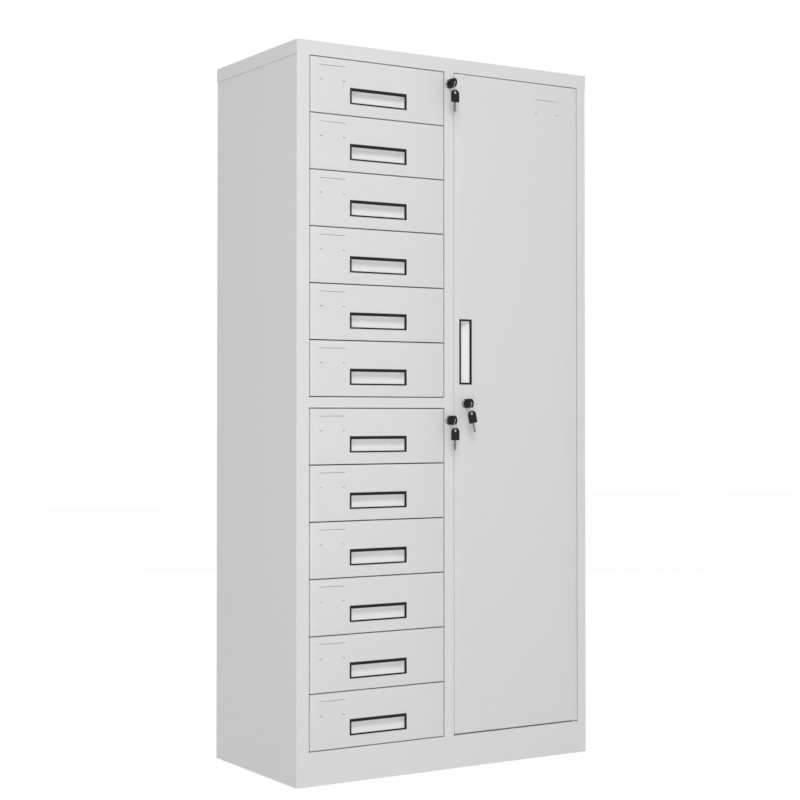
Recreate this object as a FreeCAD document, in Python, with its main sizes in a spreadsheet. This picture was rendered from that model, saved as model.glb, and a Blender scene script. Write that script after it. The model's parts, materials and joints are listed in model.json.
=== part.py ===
import FreeCAD, Part
import math
import os
import re
import Sketcher

# Multi-drawer file cabinet with a column of drawers and a tall locker door.
# Millimetres. X runs to the right, Y from the front to the back, Z up.
# The origin is on the floor, at the middle of everything that stands on it, keys included.

DRIVING_SIZES = {
    # casing
    "left_stile": 36.0,
    "drawer_opening": 401.0,
    "middle_stile": 29.0,
    "door_opening": 405.0,
    "right_stile": 29.0,
    "plinth_height": 84.5,
    "drawer_pitch": 141.6,
    "drawers_in_bank": 6,
    "mid_rail_height": 26.2,
    "cap_height": 36.1,
    "cabinet_depth": 450.0,
    "casing_gauge": 1.0,
    "cap_clearance": 0.2,
    "stile_return": 16.0,
    "rail_return": 25.0,
    "rear_flange": 20.0,
    "fold_radius": 1.5,
    "overcut": 1.0,
    "front_gap": 2.0,
    # drawers
    "front_thickness": 18.0,
    "front_edge": 0.8,
    "tray_gauge": 0.8,
    "side_space": 12.5,
    "tray_height": 105.0,
    "tray_lift": 12.0,
    "tray_rear_space": 28.0,
    "rim_width": 9.0,
    "rail_leg": 12.0,
    "runner_width": 10.5,
    "runner_mouth": 2.6,
    "runner_clearance": 0.3,
    "runner_rear_space": 20.0,
    # recessed pulls
    "pull_width": 168.0,
    "pull_height": 41.0,
    "pull_drop": 50.5,
    "pull_side_bar": 4.0,
    "pull_top_bar": 5.0,
    "pull_bottom_bar": 3.0,
    "pull_proud": 1.2,
    "scoop_depth": 14.0,
    "scoop_wall": 1.5,
    "scoop_radius": 30.0,
    "scoop_lip": 4.0,
    "scoop_crown": 6.0,
    "pull_sleeve": 1.0,
    "pull_sleeve_depth": 3.0,
    "pull_fit": 0.1,
    "door_pull_width": 39.0,
    "door_pull_height": 171.0,
    "door_pull_inset": 36.9,
    "door_pull_rise": 135.0,
    "door_pull_bar": 5.0,
    # card holders
    "card_slit_length": 73.2,
    "card_slit_height": 1.2,
    "card_slit_drop": 19.0,
    "card_slit_inset": 27.7,
    "card_tab_drop": 36.0,
    "card_tab_length": 6.0,
    "card_tab_height": 2.2,
    "card_tab_proud": 0.8,
    "card_tab_inset": 4.3,
    "door_card_length": 78.5,
    "door_card_inset": 62.0,
    "door_card_drop": 43.5,
    # door
    "door_thickness": 20.0,
    "pivot_inset": 10.0,
    "pivot_depth": 5.5,
    "pivot_pin_bore": 5.0,
    "pivot_head": 8.0,
    "pivot_head_height": 1.5,
    "pivot_engagement": 8.0,
    "bush_wall": 1.4,
    "bush_clearance": 0.05,
    "door_back_gauge": 0.8,
    # locks and keys
    "upper_lock_drop": 31.9,
    "lower_lock_drop": 32.1,
    "door_lock_height": 948.0,
    "door_lock_inset": 35.0,
    "lock_offset": 0.0,
    "collar_bore": 22.5,
    "collar_proud": 3.5,
    "barrel_bore": 18.0,
    "barrel_length": 22.0,
    "barrel_clearance": 0.05,
    "plug_bore": 12.0,
    "plug_clearance": 0.05,
    "cam_gauge": 2.0,
    "cam_space": 1.0,
    "cam_width": 12.0,
    "gang_cam_width": 9.0,
    "gang_cam_tip": 3.0,
    "door_cam_reach": 45.0,
    "cam_throw": 9.0,
    "cam_pin_bore": 4.0,
    "key_bow_width": 24.0,
    "key_bow_length": 32.5,
    "key_bow_thick": 3.2,
    "key_bow_radius": 9.0,
    "key_shoulder": 5.0,
    "key_eye_bore": 7.0,
    "key_eye_edge": 7.5,
    "key_blade_length": 25.0,
    "key_blade_width": 7.5,
    "key_blade_gauge": 2.0,
    "key_stand_off": 0.5,
    "keyway_clearance": 0.2,
    "ring_bore": 24.0,
    "ring_wire": 1.1,
    "ring_drop": 1.3,
    "door_spare_tilt": 12.0,
    # gang locks
    "bar_width": 24.0,
    "bar_gauge": 3.0,
    "bar_gap": 1.5,
    "bar_end_space": 12.0,
    "bar_side_space": 1.4,
    "finger_height": 8.0,
    "finger_lift": 48.0,
    "finger_tip_space": 1.0,
    "finger_slack": 0.5,
    "window_slack": 2.6,
    "catch_width": 6.5,
    "catch_length": 10.0,
    "catch_height": 7.0,
    "catch_space": 1.0,
    # shelves
    "shelf_count": 4,
    "shelf_flange": 24.0,
    "shelf_side_space": 1.0,
    "shelf_setback": 46.0,
    "shelf_rear_space": 4.0,
    "clip_length": 22.0,
    "clip_width": 12.0,
    "clip_gauge": 1.5,
    "clip_drop": 14.0,
    "clip_inset": 55.0,
}

# Places that follow from the sizes above.
PLACES = {
    "cabinet_width": "left_stile + drawer_opening + middle_stile + door_opening + right_stile",
    "bank_height": "drawers_in_bank * drawer_pitch + front_gap",
    "opening_top": "plinth_height + 2 * bank_height + mid_rail_height",
    "cabinet_height": "opening_top + cap_height",
    "key_reach": "collar_proud + key_stand_off + key_bow_length",
    "ring_reach": "(ring_bore / 2 + ring_wire) * sqrt(0.5)",
    "front_y": "(key_reach - key_eye_edge + ring_reach - cabinet_depth) / 2",
    "rear_y": "front_y + cabinet_depth",
    "back_y": "rear_y - casing_gauge - cap_clearance",
    "cap_left": "-cabinet_width / 2",
    "cap_right": "cabinet_width / 2",
    "side_left": "cap_left + casing_gauge + cap_clearance",
    "side_right": "cap_right - casing_gauge - cap_clearance",
    "drawers_left": "cap_left + left_stile",
    "drawers_right": "drawers_left + drawer_opening",
    "door_left": "drawers_right + middle_stile",
    "door_right": "door_left + door_opening",
    "lower_bank": "plinth_height",
    "mid_rail_low": "plinth_height + bank_height",
    "upper_bank": "mid_rail_low + mid_rail_height",
    "casing_top": "cabinet_height - casing_gauge - cap_clearance",
    "inner_front": "front_y + stile_return",
    "inner_back": "back_y - casing_gauge",
    "lock_x": "(drawers_right + door_left) / 2 + lock_offset",
    "door_lock_x": "door_left + front_gap + door_lock_inset",
    "barrel_end": "front_y + barrel_length",
    "cam_front": "barrel_end + cam_space",
    "bar_front": "cam_front + cam_gauge + bar_gap",
    "bar_back": "bar_front + bar_gauge",
    "bar_left": "drawers_right + casing_gauge + bar_side_space",
    "tray_left": "drawers_left + side_space",
    "tray_right": "drawers_right - side_space",
    "pivot_x": "door_right - front_gap - pivot_inset",
    "pivot_y": "front_y + pivot_depth",
    "leaf_left": "door_left + front_gap",
    "leaf_right": "door_right - front_gap",
    "leaf_low": "plinth_height + front_gap",
    "leaf_top": "opening_top - front_gap",
    "key_eye_y": "front_y - key_reach + key_eye_edge",
    "door_pull_centre": "door_lock_height + door_pull_rise",
    "cam_rise": "sqrt(door_cam_reach^2 + (cam_width / 2)^2 - (door_lock_x - door_left)^2)",
}

document = FreeCAD.newDocument("file_cabinet")
sheet = document.addObject("Spreadsheet::Sheet", "Sizes")
for row, (alias, length) in enumerate(DRIVING_SIZES.items(), start=1):
    sheet.set("A%d" % row, str(length))
    sheet.setAlias("A%d" % row, alias)
document.recompute()


def bound(text):
    """Write out an expression of size and place names in terms of the sheet's cells."""
    def spelled(match):
        word = match.group(0)
        if word in PLACES:
            return "(%s)" % bound(PLACES[word])
        if word in DRIVING_SIZES:
            return "Sizes." + word
        return word
    return re.sub(r"[a-z_]+", spelled, str(text))


def number(text):
    """The value of an expression now."""
    return float(sheet.evalExpression(bound(text).replace("Sizes.", "")))


# Building helpers

def bind(item, prop, text):
    item.setExpression(prop, bound(text))


def place(item, x="0", y="0", z="0", rotation=None):
    """Set an object's placement, its base bound to expressions."""
    turn = rotation or FreeCAD.Rotation()
    item.Placement = FreeCAD.Placement(FreeCAD.Vector(number(x), number(y), number(z)), turn)
    for axis, text in zip("xyz", (x, y, z)):
        bind(item, "Placement.Base." + axis, text)
    return item


def add(kind, label):
    item = document.addObject(kind, label)
    item.Label = label
    return item


def block(label, x, y, z):
    """A rectangular solid between two bounds on each axis."""
    item = add("Part::Box", label)
    for prop, (low, high) in zip(("Length", "Width", "Height"), (x, y, z)):
        bind(item, prop, "(%s) - (%s)" % (high, low))
    return place(item, x[0], y[0], z[0])


RING_SIDES = 20
AXIS_TURN = {
    "x": FreeCAD.Rotation(FreeCAD.Vector(0, 1, 0), 90),
    "y": FreeCAD.Rotation(FreeCAD.Vector(1, 0, 0), -90),
    "z": FreeCAD.Rotation(),
}


def rod(label, axis, start, length, bore):
    """A round solid from a start point along an axis."""
    item = add("Part::Cylinder", label)
    bind(item, "Radius", "(%s) / 2" % bore)
    bind(item, "Height", length)
    return place(item, *start, rotation=AXIS_TURN[axis])


def many_sided(label, z, length, bore):
    """A prism about the Z axis with enough sides to pass for round."""
    item = add("Part::Prism", label)
    item.Polygon = RING_SIDES
    bind(item, "Circumradius", "(%s) / 2" % bore)
    bind(item, "Height", length)
    return place(item, z=z)


def joined(label, pieces):
    item = add("Part::MultiFuse", label)
    item.Shapes = pieces
    item.Refine = True
    return item


def cut(label, base, tools):
    item = add("Part::Cut", label)
    item.Base = base
    item.Tool = tools[0] if len(tools) == 1 else grouped(label + "_cuts", tools)
    item.Refine = True
    return item


def grouped(label, pieces):
    item = add("Part::Compound", label)
    item.Links = pieces
    return item


def body_plane(body, role):
    return next(item for item in body.Origin.OriginFeatures if item.Role == role)


def sketch_on(body, name, role, offset="0"):
    sketch = body.newObject("Sketcher::SketchObject", name)
    sketch.AttachmentSupport = [(body_plane(body, role), "")]
    sketch.MapMode = "FlatFace"
    bind(sketch, "AttachmentOffset.Base.z", offset)
    return sketch


def arc_between(first, last, radius):
    """An arc from first to last, bulging to the right of the way from one to the other."""
    way = last - first
    half = way.Length / 2
    rise = math.sqrt(max(radius * radius - half * half, 0))
    left = FreeCAD.Vector(-way.y, way.x, 0).normalize()
    centre = (first + last) * 0.5 + left * rise
    middle = centre - left * radius
    return Part.Arc(first, middle, last)


def draw(sketch, points):
    """Draw a closed outline. A point may name the radius of an arc that starts there."""
    spots = [FreeCAD.Vector(number(point[0]), number(point[1]), 0) for point in points]
    start = sketch.GeometryCount
    count = len(points)
    for index, point in enumerate(points):
        here = spots[index]
        there = spots[(index + 1) % count]
        if len(point) == 3:
            sketch.addGeometry(arc_between(here, there, number(point[2])), False)
            radius = sketch.addConstraint(
                Sketcher.Constraint("Radius", start + index, number(point[2])))
            sketch.setExpression("Constraints[%d]" % radius, bound(point[2]))
        else:
            sketch.addGeometry(Part.LineSegment(here, there), False)
    for index, point in enumerate(points):
        following = (index + 1) % count
        sketch.addConstraint(
            Sketcher.Constraint("Coincident", start + index, 2, start + following, 1))
        for kind, text in zip(("DistanceX", "DistanceY"), point):
            spot = sketch.addConstraint(
                Sketcher.Constraint(kind, -1, 1, start + index, 1, number(text)))
            sketch.setExpression("Constraints[%d]" % spot, bound(text))


def draw_circle(sketch, x, y, bore):
    centre = FreeCAD.Vector(number(x), number(y), 0)
    circle = Part.Circle(centre, FreeCAD.Vector(0, 0, 1), number(bore) / 2)
    index = sketch.addGeometry(circle, False)
    limits = (
        Sketcher.Constraint("Radius", index, number(bore) / 2),
        Sketcher.Constraint("DistanceX", -1, 1, index, 3, number(x)),
        Sketcher.Constraint("DistanceY", -1, 1, index, 3, number(y)),
    )
    for limit, text in zip(limits, ("(%s) / 2" % bore, x, y)):
        place_of = sketch.addConstraint(limit)
        sketch.setExpression("Constraints[%d]" % place_of, bound(text))


def rectangle(x, y):
    return [(x[0], y[0]), (x[1], y[0]), (x[1], y[1]), (x[0], y[1])]


def pad(body, name, sketch, length, reverse=False, midplane=False):
    feature = body.newObject("PartDesign::Pad", name)
    feature.Profile = (sketch, [""])
    bind(feature, "Length", length)
    feature.Reversed = reverse
    feature.Midplane = midplane
    document.recompute()
    return feature


def pocket(body, name, sketch, length, reverse=False, midplane=False):
    """Cut a sketch out of the body, and stop if the cut takes nothing away."""
    before = body.Shape.Volume
    feature = body.newObject("PartDesign::Pocket", name)
    feature.Profile = (sketch, [""])
    bind(feature, "Length", length)
    feature.Reversed = reverse
    feature.Midplane = midplane
    document.recompute()
    if body.Shape.Volume > before - 1e-3:
        raise RuntimeError(name + " in " + body.Label + " cuts nothing")
    return feature


def round_edges(body, name, radius, chosen):
    """Round the edges of the body's last feature that chosen accepts."""
    base = body.Tip
    names = ["Edge%d" % (index + 1) for index, edge in enumerate(base.Shape.Edges) if chosen(edge)]
    feature = body.newObject("PartDesign::Fillet", name)
    feature.Base = (base, names)
    bind(feature, "Radius", radius)
    document.recompute()
    return feature


def break_edges(body, name, size, chosen):
    """Take a small flat off the edges of the body's last feature that chosen accepts."""
    base = body.Tip
    names = ["Edge%d" % (index + 1) for index, edge in enumerate(base.Shape.Edges) if chosen(edge)]
    feature = body.newObject("PartDesign::Chamfer", name)
    feature.Base = (base, names)
    bind(feature, "Size", size)
    document.recompute()
    return feature


def along(edge, axis):
    way = edge.Vertexes[-1].Point - edge.Vertexes[0].Point
    return len(edge.Vertexes) == 2 and abs(abs(way.normalize().dot(axis)) - 1) < 1e-6


def folded_outline(line, gauge):
    """The outline of a sheet folded along a right-angled line, its thickness to the left."""
    spots = [(number(x), number(y)) for x, y in line]
    ways = []
    for first, last in zip(spots, spots[1:]):
        length = math.hypot(last[0] - first[0], last[1] - first[1])
        ways.append((round((last[0] - first[0]) / length), round((last[1] - first[1]) / length)))
    inner = []
    for index, (x, y) in enumerate(line):
        sides = {ways[max(index - 1, 0)], ways[min(index, len(ways) - 1)]}
        shift_x = sum(-way[1] for way in sides)
        shift_y = sum(way[0] for way in sides)
        inner.append(("%s + %d * (%s)" % (x, shift_x, gauge), "%s + %d * (%s)" % (y, shift_y, gauge)))
    return list(line) + inner[::-1]


def folded_sheet(label, role, line, gauge, start, end):
    """A folded sheet: its section on an origin plane, drawn out from start to end."""
    body = add("PartDesign::Body", label)
    # the XZ plane faces the front, so what is drawn out from it runs the other way
    facing_front = role == "XZ_Plane"
    offset = "-(%s)" % start if facing_front else start
    section = sketch_on(body, label + "_section", role, offset)
    draw(section, folded_outline(line, gauge))
    pad(body, label + "_sheet", section, "(%s) - (%s)" % (end, start), reverse=facing_front)
    return body


UPRIGHT = FreeCAD.Vector(0, 0, 1)


def at_front(edge):
    return abs(edge.BoundBox.YMax - number("front_y")) < 1e-6


NODES = []


def finished(item, label):
    """Give a finished sub-part its name and list it."""
    item.Label = label
    NODES.append(item)
    return item


# Casing

def side_panel(label, line):
    """A side with its stile folded in at the front, notched where the cap's face runs over it."""
    body = folded_sheet(label, "XY_Plane", line, "casing_gauge", "0", "casing_top")
    round_edges(body, label + "_fold", "fold_radius", lambda edge: (
        along(edge, UPRIGHT) and at_front(edge)
        and abs(abs(edge.BoundBox.Center.x) - abs(number("side_left"))) < 1e-6))
    notch = sketch_on(body, label + "_notch_outline", "XY_Plane", "opening_top")
    spread = ("cap_left - overcut", "cap_right + overcut")
    draw(notch, rectangle(spread, ("front_y - overcut", "inner_front")))
    pocket(body, label + "_notch", notch, "cap_height", reverse=True)
    return finished(body, label)


side_panel("side_panel_left", [
    ("side_left + rear_flange", "inner_back"),
    ("side_left", "inner_back"),
    ("side_left", "front_y"),
    ("drawers_left", "front_y"),
    ("drawers_left", "inner_front"),
])
side_panel("side_panel_right", [
    ("door_right", "inner_front"),
    ("door_right", "front_y"),
    ("side_right", "front_y"),
    ("side_right", "inner_back"),
    ("side_right - rear_flange", "inner_back"),
])

back_panel = block("back_panel", ("side_left", "side_right"), ("inner_back", "back_y"),
                   ("0", "casing_top"))
finished(back_panel, "back_panel")


def top_cap():
    """The lid that closes the casing, with the return that carries the door's upper pivot."""
    body = add("PartDesign::Body", "top_cap")
    lid = sketch_on(body, "cap_outline", "XY_Plane", "opening_top")
    draw(lid, rectangle(("cap_left", "cap_right"), ("front_y", "rear_y")))
    pad(body, "cap_block", lid, "cap_height")
    top = number("cabinet_height")
    round_edges(body, "cap_folds", "fold_radius",
                lambda edge: abs(edge.BoundBox.ZMin - top) < 1e-6)
    inside = sketch_on(body, "cap_inside_outline", "XY_Plane", "opening_top")
    draw(inside, rectangle(("cap_left + casing_gauge", "cap_right - casing_gauge"),
                           ("front_y + casing_gauge", "rear_y - casing_gauge")))
    pocket(body, "cap_inside", inside, "cap_height - casing_gauge", reverse=True)
    shelf = sketch_on(body, "cap_return_outline", "XY_Plane", "opening_top")
    draw(shelf, rectangle(("side_left + casing_gauge", "side_right - casing_gauge"),
                          ("front_y", "inner_front")))
    draw_circle(shelf, "pivot_x", "pivot_y", "pivot_pin_bore + 2 * bush_clearance")
    pad(body, "cap_return", shelf, "casing_gauge")
    return finished(body, "top_cap")


top_cap()


def front_rail(low, top, lower_return, label, start, end):
    """A rail across the front, folded back above and below."""
    return folded_sheet(label, "YZ_Plane", [
        ("front_y + rail_return", top),
        ("front_y", top),
        ("front_y", low),
        ("front_y + " + lower_return, low),
    ], "casing_gauge", start, end)


plinth = front_rail("0", "plinth_height", "rear_flange", "base_plinth", "drawers_left",
                    "door_right")
pivot_hole = sketch_on(plinth, "plinth_pivot_outline", "XY_Plane", "plinth_height")
draw_circle(pivot_hole, "pivot_x", "pivot_y", "pivot_pin_bore + 2 * bush_clearance")
pocket(plinth, "plinth_pivot_hole", pivot_hole, "2 * casing_gauge")
finished(plinth, "base_plinth")

mid_rail = front_rail("mid_rail_low", "upper_bank", "rail_return", "mid_rail", "drawers_left",
                      "drawers_right")
finished(mid_rail, "mid_rail")

bottom_panel = block("bottom_panel", ("side_left + casing_gauge", "side_right - casing_gauge"),
                     ("front_y + rail_return", "inner_back - casing_gauge"),
                     ("plinth_height - casing_gauge", "plinth_height"))
finished(bottom_panel, "bottom_panel")

UPPER_LOCK_Z = "opening_top - upper_lock_drop"
LOWER_LOCK_Z = "mid_rail_low - lower_lock_drop"
DOOR_LOCK_Z = "door_lock_height"


def centre_stile():
    body = folded_sheet("centre_stile", "XY_Plane", [
        ("drawers_right", "inner_front"),
        ("drawers_right", "front_y"),
        ("door_left", "front_y"),
        ("door_left", "inner_front"),
    ], "casing_gauge", "plinth_height", "opening_top")
    holes = sketch_on(body, "stile_lock_outline", "XZ_Plane", "-front_y")
    for lock_z in (UPPER_LOCK_Z, LOWER_LOCK_Z):
        draw_circle(holes, "lock_x", lock_z, "barrel_bore + 2 * barrel_clearance")
    pocket(body, "stile_lock_holes", holes, "2 * casing_gauge")
    return finished(body, "centre_stile")


centre_stile()

inner_wall = folded_sheet("inner_wall_left", "XY_Plane", [
    ("side_left + casing_gauge", "inner_front"),
    ("drawers_left", "inner_front"),
    ("drawers_left", "inner_back"),
    ("drawers_left - rear_flange / 2", "inner_back"),
], "casing_gauge", "plinth_height", "casing_top")
finished(inner_wall, "inner_wall_left")

DRAWERS = range(1, 2 * int(DRIVING_SIZES["drawers_in_bank"]) + 1)


def drawer_floor(index):
    """Height of the lower edge of a drawer's front, counted from the top drawer down."""
    if index <= DRIVING_SIZES["drawers_in_bank"]:
        return "upper_bank + front_gap + (drawers_in_bank - %d) * drawer_pitch" % index
    return "lower_bank + front_gap + (2 * drawers_in_bank - %d) * drawer_pitch" % index


def partition_left():
    """The wall beside the drawers, slotted for the fingers of the gang-lock bars."""
    body = folded_sheet("partition_left", "XY_Plane", [
        ("drawers_right", "inner_back"),
        ("drawers_right", "inner_front"),
    ], "casing_gauge", "plinth_height", "casing_top")
    slots = sketch_on(body, "finger_slot_outlines", "YZ_Plane", "drawers_right")
    for index in DRAWERS:
        low = "%s + finger_lift" % drawer_floor(index)
        draw(slots, rectangle(
            ("bar_front - finger_slack", "bar_back + finger_slack"),
            (low + " - finger_slack", low + " + finger_height + cam_throw + finger_slack")))
    pocket(body, "finger_slots", slots, "casing_gauge", reverse=True)
    return finished(body, "partition_left")


partition_left()


def partition_right():
    """The wall beside the locker, slotted where the door's cam goes behind the stile."""
    body = folded_sheet("partition_right", "XY_Plane", [
        ("door_left", "inner_front"),
        ("door_left", "inner_back"),
        ("drawers_right + casing_gauge", "inner_back"),
    ], "casing_gauge", "plinth_height", "casing_top")
    slot = sketch_on(body, "strike_outline", "YZ_Plane", "door_left")
    draw(slot, rectangle(
        ("cam_front - cam_space", "cam_front + cam_gauge + cam_space"),
        (DOOR_LOCK_Z + " - cam_width / 2 - cam_gauge", DOOR_LOCK_Z + " + cam_rise + cam_gauge")))
    pocket(body, "strike_slot", slot, "casing_gauge")
    return finished(body, "partition_right")


partition_right()


# Drawers, their runners and pulls

def rim_top(index):
    """Height of the top of a drawer's slide rails."""
    return drawer_floor(index) + " + tray_lift + tray_height"


def runner(label, index, left):
    """The folded channel on the wall in which one of a drawer's slide rails runs."""
    low = rim_top(index) + " - tray_gauge - runner_clearance - casing_gauge"
    top = low + " + 2 * casing_gauge + runner_mouth"
    if left:
        line = [("drawers_left + runner_width", top), ("drawers_left", top),
                ("drawers_left", low), ("drawers_left + runner_width", low)]
    else:
        line = [("drawers_right - runner_width", low), ("drawers_right", low),
                ("drawers_right", top), ("drawers_right - runner_width", top)]
    return folded_sheet(label, "XZ_Plane", line, "casing_gauge", "front_y + rail_return",
                        "inner_back - runner_rear_space")


for side in ("left", "right"):
    runners = [runner("runner_%s_%02d" % (side, index), index, side == "left")
               for index in DRAWERS]
    finished(grouped("drawer_runners_" + side, runners), "drawer_runners_" + side)

DRAWER_FRONT_X = ("drawers_left + front_gap", "drawers_right - front_gap")
PULL_CENTRE_X = "(drawers_left + drawers_right) / 2"


def scoop_profile(start, end):
    """Section of a scooped recess: full depth under its start edge, shallow at its end edge."""
    return [
        ("front_y - overcut", end),
        ("front_y + scoop_lip", end, "scoop_radius"),
        ("front_y + scoop_depth", "%s - scoop_crown" % start),
        ("front_y + scoop_depth", start),
        ("front_y - overcut", start),
    ]


def hollow_pan(body, name, x, z, thickness, island_x, island_z, soften, fold, rear_sheet=None):
    """A folded front, open behind, with solid round its pressed recess up to any rear sheet."""
    face = sketch_on(body, name + "_face", "XZ_Plane", "-front_y")
    draw(face, rectangle(x, z))
    pad(body, name + "_block", face, thickness, reverse=True)
    soften(body, name + "_folds", fold, at_front)
    inside = sketch_on(body, name + "_inside_outline", "XZ_Plane", "-front_y - " + thickness)
    draw(inside, rectangle(("%s + casing_gauge" % x[0], "%s - casing_gauge" % x[1]),
                           ("%s + casing_gauge" % z[0], "%s - casing_gauge" % z[1])))
    draw(inside, rectangle(island_x, island_z))
    pocket(body, name + "_inside", inside, thickness + " - casing_gauge", reverse=True)
    if rear_sheet:
        relief = sketch_on(body, name + "_relief_outline", "XZ_Plane", "-front_y - " + thickness)
        draw(relief, rectangle(island_x, island_z))
        pocket(body, name + "_relief", relief, rear_sheet, reverse=True)


def card_holder(body, name, slit_x, slit_z, tab_z):
    """The slit that a card slides into, and the two tabs lanced out of the face below it."""
    slit = sketch_on(body, name + "_slit_outline", "XZ_Plane", "-front_y")
    draw(slit, rectangle(slit_x, ("%s - card_slit_height / 2" % slit_z,
                                  "%s + card_slit_height / 2" % slit_z)))
    pocket(body, name + "_slit", slit, "casing_gauge")
    tabs = sketch_on(body, name + "_tab_outlines", "XZ_Plane", "-front_y")
    for middle in ("%s + card_tab_inset" % slit_x[0], "%s - card_tab_inset" % slit_x[1]):
        draw(tabs, rectangle(
            ("%s - card_tab_length / 2" % middle, "%s + card_tab_length / 2" % middle),
            ("%s - card_tab_height / 2" % tab_z, "%s + card_tab_height / 2" % tab_z)))
    pad(body, name + "_tabs", tabs, "card_tab_proud")


def drawer_front(name, index):
    low = drawer_floor(index)
    top = low + " + drawer_pitch - front_gap"
    centre_z = low + " + pull_drop - front_gap / 2"
    wall = "pull_sleeve + pull_fit"
    scoop_top = "%s + pull_height / 2 - pull_top_bar + %s" % (centre_z, wall)
    scoop_low = "%s - pull_height / 2 + pull_bottom_bar - (%s)" % (centre_z, wall)
    half = "pull_width / 2 - pull_side_bar + " + wall
    body = add("PartDesign::Body", name + "_front")
    hollow_pan(body, name, DRAWER_FRONT_X, (low, top), "front_thickness",
               ("%s - (%s + scoop_wall)" % (PULL_CENTRE_X, half),
                "%s + (%s + scoop_wall)" % (PULL_CENTRE_X, half)),
               ("%s - scoop_wall" % scoop_low, "%s + scoop_wall" % scoop_top),
               break_edges, "front_edge")
    recess = sketch_on(body, name + "_scoop_section", "YZ_Plane", PULL_CENTRE_X)
    draw(recess, scoop_profile(scoop_top, scoop_low))
    pocket(body, name + "_scoop", recess, "2 * (%s)" % half, midplane=True)
    slit_left = "%s + card_slit_inset" % DRAWER_FRONT_X[0]
    card_holder(body, name + "_card", (slit_left, slit_left + " + card_slit_length"),
                top + " - card_slit_drop", top + " - card_slit_drop - card_tab_drop")
    return body


def drawer_tray(name, index):
    """The folded tray behind a drawer's front, open at the top."""
    low = drawer_floor(index) + " + tray_lift"
    top = low + " + tray_height"
    start = "front_y + front_thickness"
    end = "inner_back - tray_rear_space"
    body = folded_sheet(name + "_tray", "XZ_Plane", [
        ("tray_left", top), ("tray_left", low), ("tray_right", low), ("tray_right", top),
    ], "tray_gauge", start, end)
    for wall, spot in (("front", start), ("rear", end + " - tray_gauge")):
        outline = sketch_on(body, "%s_%s_wall_outline" % (name, wall), "XZ_Plane", "-(%s)" % spot)
        draw(outline, rectangle(("tray_left", "tray_right"), (low, top)))
        pad(body, "%s_%s_wall" % (name, wall), outline, "tray_gauge", reverse=True)
    return body


def slide_rail(name, index, left):
    """The angle on a tray's side that runs in the channel on the wall."""
    top = rim_top(index)
    if left:
        line = [("tray_left", top + " - rail_leg"), ("tray_left", top),
                ("tray_left - rim_width", top)]
    else:
        line = [("tray_right + rim_width", top), ("tray_right", top),
                ("tray_right", top + " - rail_leg")]
    return folded_sheet(name, "XZ_Plane", line, "tray_gauge", "front_y + rail_return",
                        "inner_back - tray_rear_space")


def drawer_catch(name, index):
    """The block on a tray's side that a raised finger of the gang lock stops."""
    low = drawer_floor(index) + " + finger_lift + finger_height + catch_space"
    return block(name, ("tray_right", "tray_right + catch_width"),
                 ("bar_back + catch_space", "bar_back + catch_space + catch_length"),
                 (low, low + " + catch_height"))


def pull_frame(label, x, z, bars):
    """The moulded frame round a recess: a proud border and a sleeve that goes into the face."""
    left, right, low, top = bars
    opening_x = ("%s + %s" % (x[0], left), "%s - %s" % (x[1], right))
    opening_z = ("%s + %s" % (z[0], low), "%s - %s" % (z[1], top))
    body = add("PartDesign::Body", label)
    border = sketch_on(body, label + "_border_outline", "XZ_Plane", "-front_y")
    draw(border, rectangle(x, z))
    draw(border, rectangle(opening_x, opening_z))
    pad(body, label + "_border", border, "pull_proud")
    sleeve = sketch_on(body, label + "_sleeve_outline", "XZ_Plane", "-front_y")
    draw(sleeve, rectangle(
        ("%s - pull_sleeve" % opening_x[0], "%s + pull_sleeve" % opening_x[1]),
        ("%s - pull_sleeve" % opening_z[0], "%s + pull_sleeve" % opening_z[1])))
    draw(sleeve, rectangle(opening_x, opening_z))
    pad(body, label + "_sleeve", sleeve, "pull_sleeve_depth", reverse=True)
    return finished(body, label)


for index in DRAWERS:
    name = "drawer_%02d" % index
    pieces = [
        drawer_front(name, index),
        drawer_tray(name, index),
        slide_rail(name + "_rail_left", index, True),
        slide_rail(name + "_rail_right", index, False),
        drawer_catch(name + "_catch", index),
    ]
    finished(grouped(name, pieces), name)
    pull_z = drawer_floor(index) + " + pull_drop - front_gap / 2"
    pull_frame(
        "drawer_pull_%02d" % index,
        (PULL_CENTRE_X + " - pull_width / 2", PULL_CENTRE_X + " + pull_width / 2"),
        (pull_z + " - pull_height / 2", pull_z + " + pull_height / 2"),
        ("pull_side_bar", "pull_side_bar", "pull_bottom_bar", "pull_top_bar"))


# Door

DOOR_PULL_X = ("door_left + door_pull_inset - door_pull_width / 2",
               "door_left + door_pull_inset - door_pull_width / 2 + door_pull_width")
DOOR_PULL_Z = ("door_pull_centre - door_pull_height / 2",
               "door_pull_centre + door_pull_height / 2")


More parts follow.
